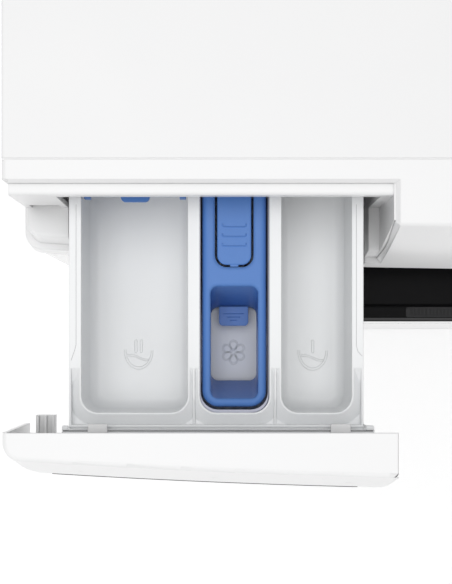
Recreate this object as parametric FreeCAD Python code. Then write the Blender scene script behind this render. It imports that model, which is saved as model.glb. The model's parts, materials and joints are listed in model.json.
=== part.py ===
import FreeCAD, Part

import math
import os

from FreeCAD import Placement, Rotation, Vector

# Front load washing machine, in millimetres. +Z is up, the front looks along -Y, and the origin is
# under the middle of the machine with its detergent drawer standing open.

# Cabinet
HALF_WIDTH = 299.0
HEIGHT = 850.0
REAR_Y = 323.0
BODY_DEPTH = 520.0
FRONT_Y = REAR_Y - BODY_DEPTH
REAR_MOST_Y = 336.0
SHEET = 1.2
FLANGE = 14.0
CORNER_R = 7.0
BASE_Z = 22.0
BASE_TOP_Z = 52.0
KICK_TOP_Z = 112.0
TOP_THICK = 26.0
TOP_UNDER_Z = HEIGHT - TOP_THICK
GAP = 0.5

# Control panel moulding, bowed in plan, its face leaning out towards the bottom
PANEL_Z = 750.0
SEAM_Y = -158.0
CREASE_Y = -192.8
BOW = 9.8
LEAN = 0.155
LEAN_DEG = math.degrees(math.atan(LEAN))
BULGE = 1.5
WALL = 2.6
PANEL_CORNER_R = 9.0
CREASE_R = 2.4
PANEL_LEFT_X = -HALF_WIDTH + WALL + 0.4

# Controls on the panel's face, each at (x, z)
KNOB_AT = (60.0, 802.0)
POWER_AT = (-36.0, 802.0)
START_AT = (268.0, 802.0)
DISPLAY_AT = (170.0, 802.0)
DISPLAY_HALF = (46.0, 17.0)
KNOB_R = 26.0
KNOB_HOLE_R = 9.0
BUTTON_R = 8.0
BUTTON_GAP = 0.6

# Notch in the moulding that the drawer's fascia fills
NOTCH_X = -99.2
BEVEL = 2.9
NOTCH_Y = -168.5
LEDGE_DROP = 3.5
RECESS_Y = -176.2
SHELF_Z = 782.0
LIP_Z = 762.5
OPENING = (-272.7, -108.0, 757.0, 838.0)
GUIDE_SLOT = (-292.5, -276.5, SHELF_Z, SHELF_Z + 14.0)

# Detergent drawer; its pieces are drawn closed and then moved out by TRAVEL
TRAVEL = 126.0
FASCIA_BOTTOM_Z = 763.3
FASCIA_RIGHT_X = -99.8
FASCIA_REAR_Y = -169.4
FASCIA_WALL = 2.3
TRAY_X = (-268.5, -114.5)
TRAY_Y = (-168.4, 106.0)
RIM_Z = 818.0
TRAY_FLOOR_Z = 768.0
TRAY_SKIN = 2.3
COMPARTMENT_FRONT_Y = -160.9
COMPARTMENT_REAR_Y = 100.5
COMPARTMENTS = ((-262.1, -206.3), (-200.1, -163.7), (-157.4, -120.5))
COMPARTMENT_R = 8.9
INSERT_X = (-198.8, -165.3)
INSERT_Y = (-157.9, 96.0)
INSERT_FOOT_Z = 775.5
INSERT_TOP_Z = 816.0
INSERT_SKIN = 1.4
WELL_TOP = (-194.5, -169.5, -153.8, -94.4)
WELL_BOTTOM = (-194.5, -169.5, -145.1, -104.8)
WELL_R = 4.0
TONGUE_X = (-191.0, -173.1)
TONGUE_Y = (-83.5, -26.0)
FLAP_HINGE_Y = -45.0
FLAP_HINGE_Z = 811.0
FLAP_LENGTH = 34.0

# Each compartment's outside falls away in front from its rim to a shallow trough
SKIRT_TOP = 0.9
SKIRT_FOOT = 7.6
SKIRT_DROP = 6.5
TROUGH_REAR_Y = -137.5
TROUGH_FOOT_Y = -152.0
TROUGH_WALL = 1.1
RIB_HALF = 0.6

# Door and porthole
AXIS_Z = 475.0
DOOR_HALF = 225.0
DOOR_CORNER_R = 116.0
DOOR_BACK_Y = FRONT_Y - 1.3
DOOR_FRONT_Y = -237.4
PORTHOLE_R = 172.0
WINDOW_R = 160.0
HINGE_X = -221.0
HINGE_Y = -214.0
HINGE_PIN_R = 3.0
KNUCKLE_HALF = 34.0
LATCH_X = DOOR_HALF - 26.0
LATCH_Y = -213.0

# Tub and drum, on a horizontal axis along Y
TUB_R = 250.0
TUB_WALL = 5.0
TUB_FRONT_Y = -140.0
TUB_JOIN_Y = 20.0
TUB_BACK_Y = 240.0
TUB_FLANGE_R = 266.0
DRUM_R = 240.0
DRUM_SKIN = 1.5
DRUM_FRONT_Y = -122.0
DRUM_BACK_Y = 205.0
DRUM_MOUTH_R = 168.0
SHAFT_R = 15.0
PULLEY_R = 143.0
MOTOR_PULLEY_R = 11.0
MOTOR_X = 70.0
MOTOR_Z = 158.0
BELT_Y = (268.0, 280.0)

FOOT_X = 262.0
FOOT_Y = (-160.0, 286.0)
DAMPER_X = 150.0
DAMPER_Y = 40.0
SPRING_X = 215.0
SPRING_Y = 150.0
PUMP_X = 205.0
PUMP_Z = 86.0
PUMP_HOSE_Y = -60.0
PUMP_OUTLET_Y = -100.0
SPOUT_X = -190.0
SPOUT_Y = 60.0
FLAP_X = (145.0, 265.0)
FLAP_Z = (40.0, 102.0)

# Fittings and fixings in the rear panel, each at (x, z)
INLET_AT = (-262.0, 780.0)
DRAIN_AT = (252.0, 770.0)
MAINS_AT = (252.0, 700.0)
RISER_X = 278.0
RISER_Y = 300.0
TRANSIT_X = 205.0
TRANSIT_Z = (225.0, 690.0)
REAR_SCREWS = [(x, z) for x in (-291.0, 291.0) for z in (60.0, 330.0, 600.0, 800.0)]
COVER_SCREWS = ((-170.0, 655.0), (170.0, 655.0), (-170.0, 245.0), (170.0, 245.0))


# ---------------------------------------------------------------- shapes that repeat

def box(x0, x1, y0, y1, z0, z1):
    return Part.makeBox(x1 - x0, y1 - y0, z1 - z0, Vector(x0, y0, z0))


def rod_y(x, z, radius, y0, y1):
    return Part.makeCylinder(radius, y1 - y0, Vector(x, y0, z), Vector(0, 1, 0))


def rod_z(x, y, radius, z0, z1):
    return Part.makeCylinder(radius, z1 - z0, Vector(x, y, z0), Vector(0, 0, 1))


def rod_x(y, z, radius, x0, x1):
    return Part.makeCylinder(radius, x1 - x0, Vector(x0, y, z), Vector(1, 0, 0))


def ring_y(x, z, outer, inner, y0, y1):
    return rod_y(x, z, outer, y0, y1).cut(rod_y(x, z, inner, y0 - 1, y1 + 1))


def ring_z(x, y, outer, inner, z0, z1):
    return rod_z(x, y, outer, z0, z1).cut(rod_z(x, y, inner, z0 - 1, z1 + 1))


def rounded_wire(corners, place):
    """A closed wire through (a, b, radius) corners; place turns a flat vector into a 3-D one."""
    count = len(corners)
    turns = []
    for i, (a, b, radius) in enumerate(corners):
        here = Vector(a, b, 0)
        back = Vector(corners[i - 1][0], corners[i - 1][1], 0) - here
        ahead = Vector(corners[(i + 1) % count][0], corners[(i + 1) % count][1], 0) - here
        back.normalize()
        ahead.normalize()
        half = back.getAngle(ahead) / 2
        reach = radius / math.tan(half)
        inward = back + ahead
        inward.normalize()
        middle = here + inward * (radius / math.sin(half) - radius)
        turns.append((here + back * reach, middle, here + ahead * reach))
    edges = []
    for i, (start, middle, stop) in enumerate(turns):
        if (stop - start).Length > 1e-6:
            edges.append(Part.Arc(place(start), place(middle), place(stop)).toShape())
        following = turns[(i + 1) % count][0]
        if (following - stop).Length > 1e-6:
            edges.append(Part.makeLine(place(stop), place(following)))
    return Part.Wire(edges)


def prism_z(corners, z0, z1):
    wire = rounded_wire(corners, lambda v: Vector(v.x, v.y, z0))
    return Part.Face(wire).extrude(Vector(0, 0, z1 - z0))


def prism_y(corners, y0, y1):
    wire = rounded_wire(corners, lambda v: Vector(v.x, y0, v.y))
    return Part.Face(wire).extrude(Vector(0, y1 - y0, 0))


def prism_x(corners, x0, x1):
    wire = rounded_wire(corners, lambda v: Vector(x0, v.x, v.y))
    return Part.Face(wire).extrude(Vector(x1 - x0, 0, 0))


def rectangle(a0, a1, b0, b1, radius):
    return [(a0, b0, radius), (a1, b0, radius), (a1, b1, radius), (a0, b1, radius)]


def turned_y(corners, x, z):
    """A solid turned about the line along Y through (x, z), from (radius, y, corner radius)."""
    wire = rounded_wire(corners, lambda v: Vector(x + v.x, v.y, z))
    return Part.Face(wire).revolve(Vector(x, 0, z), Vector(0, 1, 0), 360)


def soften(shape, radius, wanted):
    """Round the edges whose middle point satisfies wanted(point)."""
    edges = [e for e in shape.Edges if wanted(e.CenterOfMass, e)]
    return shape.makeFillet(radius, edges)


def joined(pieces):
    whole = pieces[0]
    if len(pieces) > 1:
        whole = whole.fuse(pieces[1:])
    return whole.removeSplitter()


def mirrored(shape):
    return shape.mirror(Vector(0, 0, 0), Vector(1, 0, 0))


def opened(shape):
    return shape.translated(Vector(0, -TRAVEL, 0))


def save(name, shape):
    solids = shape.Solids
    if not solids or not all(s.isValid() for s in solids):
        raise ValueError(name + " is not a valid solid")
    whole = solids[0] if len(solids) == 1 else Part.makeCompound(solids)
    whole.exportStep("parts/" + name + ".step")


# ---------------------------------------------------------------- the bowed front

def bow(x):
    return BOW * (x / HALF_WIDTH) ** 2


def face_y(z, inset=0.0):
    """The front face's Y on the centre line."""
    return CREASE_Y + inset - LEAN * (HEIGHT - z)


def bowed_block(inset, z0, z1, x0, x1, corner, crease):
    """The block behind the bowed face, inset from it, with rounded ends."""
    middle_z = (z0 + z1) / 2
    corners = [
        (SEAM_Y + 20, z1, 0),
        (face_y(z1, inset), z1, 0),
        (face_y(middle_z, inset) - BULGE, middle_z, 450),
        (face_y(z0, inset), z0, 0),
        (SEAM_Y + 20, z0, 0),
    ]
    bow_radius = HALF_WIDTH ** 2 / (2 * BOW)
    pivot = Vector(0, CREASE_Y + bow_radius, 0)
    sweep = 4.5
    face = Part.Face(rounded_wire(corners, lambda v: Vector(0, v.x, v.y)))
    face.rotate(pivot, Vector(0, 0, 1), -sweep)
    block = face.revolve(pivot, Vector(0, 0, 1), 2 * sweep)
    block = block.common(box(x0, x1, -300, SEAM_Y - GAP, z0, z1))
    if corner:
        block = soften(block, corner, lambda p, e: p.y < SEAM_Y - 12
                       and min(abs(p.x - x0), abs(p.x - x1)) < 0.1 and z0 + 1 < p.z < z1 - 1)
    if crease:
        block = soften(block, crease, lambda p, e: abs(p.z - z1) < 0.01 and p.y < SEAM_Y - 8
                       and e.BoundBox.ZLength < 0.01 and abs(abs(p.x) - HALF_WIDTH) > 0.05)
    return block


def on_face(shape, x, z):
    """Put a shape drawn about +Z onto the leaning front face, +Z pointing out of it."""
    placed = shape.copy()
    turn = Rotation(Vector(1, 0, 0), 90 - LEAN_DEG)
    placed.Placement = Placement(Vector(x, face_y(z) - BULGE * 0.75 + bow(x), z), turn)
    return placed


def control_panel():
    outer = bowed_block(0, PANEL_Z, HEIGHT, -HALF_WIDTH, HALF_WIDTH, PANEL_CORNER_R, CREASE_R)
    hollow = bowed_block(WALL, PANEL_Z + WALL, HEIGHT - WALL, -HALF_WIDTH + WALL,
                         HALF_WIDTH - WALL, 0, 0)
    shell = outer.cut(hollow.fuse(box(-HALF_WIDTH + WALL, HALF_WIDTH - WALL, SEAM_Y - 12, SEAM_Y,
                                      PANEL_Z + WALL, HEIGHT - WALL)))
    inner_x = NOTCH_X - BEVEL
    shell = shell.cut(box(-HALF_WIDTH - 1, inner_x, -300, RECESS_Y, LIP_Z, HEIGHT + 1))
    shell = shell.cut(notch_bevel())
    shell = joined([shell, recess_wall(), recess_side(), recess_shelf(outer)])
    shell = shell.cut(box(-HALF_WIDTH - 1, PANEL_LEFT_X, -300, NOTCH_Y, LIP_Z, HEIGHT + 1))
    opening = box(OPENING[0], OPENING[1], -220, -160, OPENING[2], OPENING[3])
    slot = box(GUIDE_SLOT[0], GUIDE_SLOT[1], -180, -170, GUIDE_SLOT[2], GUIDE_SLOT[3])
    shell = shell.cut(opening.fuse(slot))
    for x, z in (KNOB_AT, POWER_AT, START_AT):
        radius = KNOB_HOLE_R if (x, z) == KNOB_AT else BUTTON_R + BUTTON_GAP
        shell = shell.cut(on_face(Part.makeCylinder(radius, 30, Vector(0, 0, -12)), x, z))
    half_x, half_z = DISPLAY_HALF
    window = prism_z(rectangle(-half_x, half_x, -half_z, half_z, 3), -12, 12)
    return shell.cut(on_face(window, *DISPLAY_AT))


def notch_bevel():
    """What the moulding loses along the notch: a bevel, a ledge, and a bevel beside it."""
    ledge_z = HEIGHT - LEDGE_DROP
    rear = prism_x([(NOTCH_Y, HEIGHT + 0.01, 0), (NOTCH_Y - 2.5, ledge_z, 0),
                    (-230, ledge_z, 0), (-230, HEIGHT + 0.01, 0)], -HALF_WIDTH - 1, NOTCH_X)
    side_top = prism_y([(NOTCH_X - BEVEL - 9, HEIGHT + 0.01, 0), (NOTCH_X, HEIGHT + 0.01, 0),
                        (NOTCH_X - BEVEL, ledge_z, 0), (NOTCH_X - BEVEL - 9, ledge_z, 0)],
                       -230, NOTCH_Y - 2)
    keep = prism_y([(NOTCH_X + 0.01, HEIGHT + 1, 0), (NOTCH_X, HEIGHT, 0),
                    (NOTCH_X - BEVEL, ledge_z, 0), (NOTCH_X + 0.01, ledge_z, 0)], -230, NOTCH_Y)
    side_face = leaning_prism([(NOTCH_X, -22), (NOTCH_X, 0), (NOTCH_X - BEVEL, BEVEL),
                               (NOTCH_X - 9, BEVEL), (NOTCH_X - 9, -22)], LIP_Z, HEIGHT + 2)
    return rear.cut(keep).fuse([side_top, side_face])


def leaning_prism(corners, z0, z1):
    """A prism that leans with the front face; its corners are (x, distance behind the face)."""
    start = face_y(z0) + bow(corners[0][0])
    wire = rounded_wire([(x, start + y, 0) for x, y in corners], lambda v: Vector(v.x, v.y, z0))
    return Part.Face(wire).extrude(Vector(0, LEAN * (z1 - z0), z1 - z0))


def recess_wall():
    top = HEIGHT - LEDGE_DROP
    return prism_x([(RECESS_Y, top, 2.0), (RECESS_Y, PANEL_Z, 0), (RECESS_Y + WALL, PANEL_Z, 0),
                    (RECESS_Y + WALL, top - WALL, 0), (NOTCH_Y + 2, top - WALL, 0),
                    (NOTCH_Y + 2, top, 0)],
                   PANEL_LEFT_X, NOTCH_X - BEVEL)


def recess_side():
    wall = bowed_block(3.2, PANEL_Z + 1, HEIGHT - WALL, -140, NOTCH_X - BEVEL + WALL, 0, 0)
    return wall.common(box(NOTCH_X - BEVEL, NOTCH_X - BEVEL + WALL, -300, NOTCH_Y + 2,
                           PANEL_Z + 1, HEIGHT - WALL))


def recess_shelf(outer):
    """The step that the closed fascia covers, with a lower lip that carries on the face."""
    block = bowed_block(3.4, PANEL_Z, HEIGHT, PANEL_LEFT_X, 0, 8, 0)
    block = block.common(box(PANEL_LEFT_X - 1, NOTCH_X - BEVEL + 1, -300, RECESS_Y + 1, PANEL_Z,
                             SHELF_Z))
    block = soften(block, 2.0, lambda p, e: abs(p.z - SHELF_Z) < 0.01 and p.y < RECESS_Y - 1
                   and p.x < NOTCH_X - BEVEL - 1)
    lip = outer.common(box(-HALF_WIDTH - 1, NOTCH_X, -300, RECESS_Y, PANEL_Z, LIP_Z))
    return block.fuse(lip)


def display_window():
    half_x = DISPLAY_HALF[0] - GAP
    half_z = DISPLAY_HALF[1] - GAP
    pane = prism_z(rectangle(-half_x, half_x, -half_z, half_z, 2.5), -1.6, 0.2)
    return on_face(pane, *DISPLAY_AT)


def control_board():
    board = box(-30, 285, -182, -180.4, 768, 836)
    shield = box(125, 215, -188, -182, 790, 816)
    relays = [box(x, x + 18, -180.4, -164, 775, 790) for x in (0, 30, 60, 230)]
    return joined([board, shield] + relays)


def programme_knob():
    body = Part.makeCone(KNOB_R - 2, KNOB_R - 4.5, 15, Vector(0, 0, 1.2))
    body = body.fuse(Part.makeCylinder(KNOB_R, 2.5, Vector(0, 0, 1.2)))
    shaft = Part.makeCylinder(5, 16, Vector(0, 0, -14))
    grip = prism_z(rectangle(-3, 3, -19, 19, 2.5), 15, 19)
    return on_face(joined([body, shaft, grip]), *KNOB_AT)


def round_button(place):
    cap = Part.makeCylinder(BUTTON_R, 12, Vector(0, 0, -8.8))
    cap = soften(cap, 1.0, lambda p, e: p.z > 3)
    return on_face(cap, *place)


# ---------------------------------------------------------------- cabinet

def side_panel(side):
    """A steel side with returned front, rear and top flanges."""
    out = HALF_WIDTH
    y0 = FRONT_Y + FLANGE
    y1 = REAR_Y - SHEET - 0.2
    plan = [(out - FLANGE, y0, 0), (out, y0, 1.5), (out, y1, 1.5), (out - FLANGE, y1, 0),
            (out - FLANGE, y1 - SHEET, 0), (out - SHEET, y1 - SHEET, 0),
            (out - SHEET, y0 + SHEET, 0), (out - FLANGE, y0 + SHEET, 0)]
    sheet = prism_z(plan, BASE_Z, TOP_UNDER_Z - GAP)
    top = box(out - FLANGE, out - 0.5, SEAM_Y + 1, y1 - 0.1, TOP_UNDER_Z - GAP - SHEET,
              TOP_UNDER_Z - GAP)
    bead = prism_x(rectangle(-90, 240, 180, 640, 30), out - 0.2, out - SHEET - 3)
    bead_hollow = prism_x(rectangle(-88, 238, 182, 638, 28), out + 1, out - 3)
    panel = joined([sheet, top, bead]).cut(bead_hollow)
    panel = panel.cut(box(0, 400, -300, SEAM_Y + GAP, PANEL_Z - 1, 900))
    panel = panel.cut(rear_screw_holes())
    return panel if side > 0 else mirrored(panel)


def front_panel():
    """The steel front with its porthole, wrapped round both corners."""
    out = HALF_WIDTH
    y1 = FRONT_Y + FLANGE - 0.4
    plan = [(-out, y1, 0), (-out, FRONT_Y, CORNER_R), (out, FRONT_Y, CORNER_R), (out, y1, 0),
            (out - SHEET, y1, 0), (out - SHEET, FRONT_Y + SHEET, CORNER_R - SHEET),
            (-out + SHEET, FRONT_Y + SHEET, CORNER_R - SHEET), (-out + SHEET, y1, 0)]
    sheet = prism_z(plan, KICK_TOP_Z, PANEL_Z - 0.6)
    collar = ring_y(0, AXIS_Z, PORTHOLE_R + SHEET, PORTHOLE_R, FRONT_Y, FRONT_Y + 14)
    sheet = sheet.cut(rod_y(0, AXIS_Z, PORTHOLE_R, FRONT_Y - 5, FRONT_Y + 20)).fuse(collar)
    latch_slot = box(LATCH_X - 9, LATCH_X + 9, FRONT_Y - 5, FRONT_Y + 5, AXIS_Z - 20, AXIS_Z + 20)
    hinge_slot = box(HINGE_X - 5, HINGE_X + 5, FRONT_Y - 5, FRONT_Y + 5, AXIS_Z - KNUCKLE_HALF,
                     AXIS_Z + KNUCKLE_HALF)
    return sheet.cut(latch_slot).cut(hinge_slot)


def kick_plate():
    out = HALF_WIDTH
    y1 = FRONT_Y + FLANGE - 0.4
    plan = [(-out, y1, 0), (-out, FRONT_Y, CORNER_R), (out, FRONT_Y, CORNER_R), (out, y1, 0),
            (out - 2.5, y1, 0), (out - 2.5, FRONT_Y + 2.5, 4.5), (-out + 2.5, FRONT_Y + 2.5, 4.5),
            (-out + 2.5, y1, 0)]
    plate = prism_z(plan, BASE_Z, KICK_TOP_Z - 0.6)
    hole = box(FLAP_X[0], FLAP_X[1], FRONT_Y - 5, FRONT_Y + 5, FLAP_Z[0], FLAP_Z[1])
    return plate.cut(hole)


def service_flap():
    door = prism_y(rectangle(FLAP_X[0] + 0.6, FLAP_X[1] - 0.6, FLAP_Z[0] + 0.6, FLAP_Z[1] - 0.6, 2),
                   FRONT_Y, FRONT_Y + 2.5)
    nick = rod_y((FLAP_X[0] + FLAP_X[1]) / 2, FLAP_Z[1] + 5, 12, FRONT_Y - 1, FRONT_Y + 5)
    return door.cut(nick)


def base_tray():
    """The moulded base: a shallow tray with a boss at each foot and each damper."""
    x = HALF_WIDTH - 3
    y0 = FRONT_Y + FLANGE + 2.4
    y1 = REAR_Y - 4
    tray = box(-x, x, y0, y1, BASE_Z, BASE_TOP_Z).cut(box(-x + 3, x - 3, y0 + 3, y1 - 3,
                                                           BASE_Z + 3, BASE_TOP_Z + 1))
    bosses = []
    holes = []
    for fx in (-FOOT_X, FOOT_X):
        for fy in FOOT_Y:
            bosses.append(rod_z(fx, fy, 16, BASE_Z, BASE_TOP_Z))
            holes.append(rod_z(fx, fy, 5.4, BASE_Z - 1, BASE_TOP_Z + 1))
    for dx in (-DAMPER_X, DAMPER_X):
        bosses.append(box(dx - 22, dx + 22, DAMPER_Y - 22, DAMPER_Y + 22, BASE_Z, BASE_Z + 12))
    ribs = [box(-x, x, y - 1.5, y + 1.5, BASE_Z, BASE_Z + 22) for y in (-80, 130, 230)]
    ribs += [box(rx - 1.5, rx + 1.5, y0, y1, BASE_Z, BASE_Z + 22) for rx in (-90, 90)]
    front = box(FLAP_X[0] - 8, FLAP_X[1] + 8, y0 - 1, y0 + 4, BASE_Z + 14, BASE_TOP_Z + 1)
    return joined([tray] + bosses + ribs).cut(Part.makeCompound(holes)).cut(front)


def foot(x, y):
    pad = Part.makeCone(21, 17, 9, Vector(x, y, 0))
    hexagon = [(x + 11 * math.cos(math.radians(a)), y + 11 * math.sin(math.radians(a)), 0)
               for a in range(0, 360, 60)]
    nut = prism_z(hexagon, 9, 15)
    stud = rod_z(x, y, 5.0, 9, BASE_TOP_Z + 6)
    return joined([pad, nut, stud])


def rear_panel():
    x = HALF_WIDTH - 1
    sheet = box(-x, x, REAR_Y - SHEET, REAR_Y, BASE_Z, TOP_UNDER_Z - GAP)
    hole = prism_y(rectangle(-165, 165, 250, 650, 60), REAR_Y - 5, REAR_Y + 5)
    holes = [rod_y(px, pz, 8, REAR_Y - 5, REAR_Y + 5) for px, pz in transit_points()]
    holes.append(rod_y(INLET_AT[0], INLET_AT[1], 15, REAR_Y - 5, REAR_Y + 5))
    holes.append(rod_y(DRAIN_AT[0], DRAIN_AT[1], 14, REAR_Y - 5, REAR_Y + 5))
    holes.append(rod_y(MAINS_AT[0], MAINS_AT[1], 9, REAR_Y - 5, REAR_Y + 5))
    holes += [rod_y(x, z, 2.2, REAR_Y - 5, REAR_Y + 5) for x, z in COVER_SCREWS]
    return sheet.cut(hole).cut(Part.makeCompound(holes)).cut(rear_screw_holes())


def transit_points():
    return [(x, z) for x in (-TRANSIT_X, TRANSIT_X) for z in TRANSIT_Z]


def rear_access_cover():
    plate = prism_y(rectangle(-182, 182, 233, 667, 70), REAR_Y, REAR_Y + 1.4)
    dome = prism_y(rectangle(-150, 150, 265, 635, 50), REAR_Y + 1.4, REAR_Y + 5)
    dome = soften(dome, 3.0, lambda p, e: abs(p.y - REAR_Y - 5) < 0.01)
    holes = [rod_y(x, z, 2.2, REAR_Y - 1, REAR_Y + 3) for x, z in COVER_SCREWS]
    hollow = prism_y(rectangle(-147, 147, 268, 632, 47), REAR_Y - 1, REAR_Y + 3.6)
    return plate.fuse(dome).cut(hollow).cut(Part.makeCompound(holes))


def worktop():
    board = prism_z([(-HALF_WIDTH, SEAM_Y, 0), (HALF_WIDTH, SEAM_Y, 0), (HALF_WIDTH, REAR_Y, 6),
                     (-HALF_WIDTH, REAR_Y, 6)], TOP_UNDER_Z, HEIGHT)
    return soften(board, 1.5, lambda p, e: abs(p.z - HEIGHT) < 0.01 and p.y > SEAM_Y + 1)


def cross_braces():
    z = TOP_UNDER_Z - GAP - SHEET - 0.3
    rear = [box(-SPRING_X - 66, SPRING_X + 66, y, y + 22, z - 16, z) for y in (170, 290)]
    rear = [r.cut(box(-SPRING_X - 67, SPRING_X + 67, r.BoundBox.YMin + 2, r.BoundBox.YMax - 2,
                      z - 17, z - 2)) for r in rear]
    hangers = [box(x - 25, x + 25, SPRING_Y - 13, 185, z - 3, z) for x in (-SPRING_X, SPRING_X)]
    front = box(-90, 281, -150, -128, z - 16, z - 14).fuse(box(-90, 281, -130, -128, z - 16, z))
    return Part.makeCompound(rear[0].fuse(hangers).Solids + [rear[1]] + front.Solids)


def screw(x, y, z, direction, radius=4.5, length=12.0):
    head = Part.makeCylinder(radius, 2.2, Vector(x, y, z), direction)
    shank = Part.makeCylinder(1.9, length, Vector(x, y, z), direction * -1)
    return head.fuse(shank).removeSplitter()


def rear_screw_holes():
    return Part.makeCompound([rod_y(x, z, 2.0, REAR_Y - 14, REAR_Y + 1) for x, z in REAR_SCREWS])


def cabinet_screws():
    out = Vector(0, 1, 0)
    cover = [screw(x, REAR_Y + 1.4, z, out) for x, z in COVER_SCREWS]
    rear = [screw(x, REAR_Y, z, out) for x, z in REAR_SCREWS]
    return Part.makeCompound(cover + rear)


# ---------------------------------------------------------------- detergent drawer

def dispenser_housing():
    front = RECESS_Y + WALL + 0.4
    x0, x1 = -278.0, -104.5
    lid_z = TOP_UNDER_Z - 0.6
    collar = box(x0, x1, front, SEAM_Y + 1, PANEL_Z + WALL + 0.6, lid_z)
    hood = box(x0, x1, front, SEAM_Y - 0.4, lid_z - 1, 843.4)
    chamber = box(x0, x1, SEAM_Y + 0.6, 125, 746, lid_z)
    outer = collar.fuse([hood, chamber])
    inner = box(x0 + 3, x1 - 3, -200, 122, 756, lid_z - 2.4)
    inner = inner.fuse(box(x0 + 3, x1 - 3, SEAM_Y + 3, 122, 749, 800))
    inner = inner.fuse(box(x0 + 3, x1 - 3, -200, SEAM_Y - 2.5, 756, 840.8))
    spout = ring_z(SPOUT_X, SPOUT_Y, 15, 11, 736, 748)
    drain = rod_z(SPOUT_X, SPOUT_Y, 11, 740, 755)
    return outer.cut(inner).cut(drain).fuse(spout).removeSplitter()


def drawer_fascia():
    outer = bowed_block(0, PANEL_Z, HEIGHT, -HALF_WIDTH + 0.4, HALF_WIDTH, PANEL_CORNER_R, CREASE_R)
    inner = bowed_block(FASCIA_WALL, PANEL_Z - 5, HEIGHT - FASCIA_WALL,
                        -HALF_WIDTH + 0.4 + FASCIA_WALL, 0, PANEL_CORNER_R - FASCIA_WALL, 0)
    shell = outer.cut(inner)
    shell = shell.common(box(-HALF_WIDTH, FASCIA_RIGHT_X, -300, FASCIA_REAR_Y, FASCIA_BOTTOM_Z,
                             HEIGHT))
    rear_bevel = prism_x([(FASCIA_REAR_Y, HEIGHT, 0), (FASCIA_REAR_Y - 2.6, HEIGHT - 2.6, 0),
                          (FASCIA_REAR_Y + 1, HEIGHT - 2.6, 0)],
                         -HALF_WIDTH + FASCIA_WALL + 0.4, -50)
    relief = box(FASCIA_RIGHT_X - 3, FASCIA_RIGHT_X + 1, CREASE_Y + 1, CREASE_Y + 3.4,
                 HEIGHT - 4.2, HEIGHT - 2.7)
    shell = shell.cut(rear_bevel).cut(fascia_side_bevel()).cut(relief).cut(grip_groove(outer))
    return opened(joined([shell, guide_tongue()] + fascia_posts()))


def fascia_side_bevel():
    """The fascia's right edge thins inwards at 45 degrees, to seat on the notch's bevel."""
    x = FASCIA_RIGHT_X - 0.4
    depth = FASCIA_WALL + 0.6
    top = prism_y([(x, HEIGHT, 0), (x - depth, HEIGHT - depth, 0), (x + 2, HEIGHT - depth, 0),
                   (x + 2, HEIGHT, 0)], -230, -150)
    side = leaning_prism([(x, 0), (x - depth, depth), (x - depth, depth + 1), (x + 2, depth + 1),
                          (x + 2, -0.2)], LIP_Z - 2, HEIGHT - 3)
    return top.fuse(side)


def grip_groove(outer):
    """A fine dark groove just above the fascia's lower edge."""
    z = FASCIA_BOTTOM_Z + 5.5
    skin = bowed_block(0.9, PANEL_Z, HEIGHT, -HALF_WIDTH, HALF_WIDTH, PANEL_CORNER_R, 0)
    band = box(-284, -112, -300, -190, z, z + 1.3)
    return outer.common(band).cut(skin)


def guide_tongue():
    front = face_y(790, 1.0) + bow(-284)
    tongue = box(-289, -278.8, front, -163.5, 785, 793)
    ribs = [box(x, x + 1.4, front, -163.5, 793, 795) for x in (-288.6, -284.4, -280.2)]
    return joined([tongue] + ribs)


def fascia_posts():
    """Ribs behind the fascia that carry the tray's front plate, and the two clips above it."""
    posts = []
    for x in (-262, -192, -122):
        front = face_y(800, 1.2) + bow(x)
        posts.append(box(x - 1.5, x + 1.5, front, -172.2, 772, 815))
    for x0, x1 in ((-257.8, -247.8), (-132.3, -122.0)):
        front = face_y(826, 1.2) + bow(x0)
        posts.append(box(x0, x1, front, -166.4, 824.6, 827))
    return posts


def compartment_plan(x0, x1, grow):
    """A compartment's outline, grown all round: large corners in front, small ones behind."""
    front = COMPARTMENT_FRONT_Y - grow
    rear = COMPARTMENT_REAR_Y + grow
    return [(x0 - grow, front, COMPARTMENT_R + grow), (x1 + grow, front, COMPARTMENT_R + grow),
            (x1 + grow, rear, 3 + grow), (x0 - grow, rear, 3 + grow)]


def compartment_skirt(x0, x1):
    """A compartment's outside, which spreads downwards from its rim."""
    wires = []
    for grow, z in ((SKIRT_TOP, RIM_Z + 0.01), (SKIRT_FOOT, RIM_Z - SKIRT_DROP)):
        plan = compartment_plan(x0, x1, grow)
        wires.append(rounded_wire(plan, lambda v, z=z: Vector(v.x, v.y, z)))
    return Part.makeLoft(wires, True, True)


def front_trough():
    """What the tray loses in front of its compartments, down to their skirts."""
    foot_z = RIM_Z - SKIRT_DROP
    front_y = TRAY_Y[0] + TROUGH_WALL
    trough = prism_x([(front_y, RIM_Z + 1, 0), (front_y, foot_z, 0), (TROUGH_FOOT_Y, foot_z, 0),
                      (TROUGH_REAR_Y, RIM_Z, 0), (TROUGH_REAR_Y, RIM_Z + 1, 0)],
                     TRAY_X[0] + TROUGH_WALL, TRAY_X[1] - TROUGH_WALL)
    ribs = []
    for left, right in zip(COMPARTMENTS, COMPARTMENTS[1:]):
        middle = (left[1] + right[0]) / 2
        ribs.append(prism_x([(front_y - 1, foot_z - 2, 0), (TROUGH_REAR_Y, foot_z - 2, 0),
                             (TROUGH_REAR_Y, RIM_Z, 0), (TROUGH_FOOT_Y - 2, RIM_Z - 0.5, 4),
                             (front_y - 1, foot_z, 0)], middle - RIB_HALF, middle + RIB_HALF))
    skirts = [compartment_skirt(x0, x1) for x0, x1 in COMPARTMENTS]
    return trough.cut(skirts + ribs)


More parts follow.
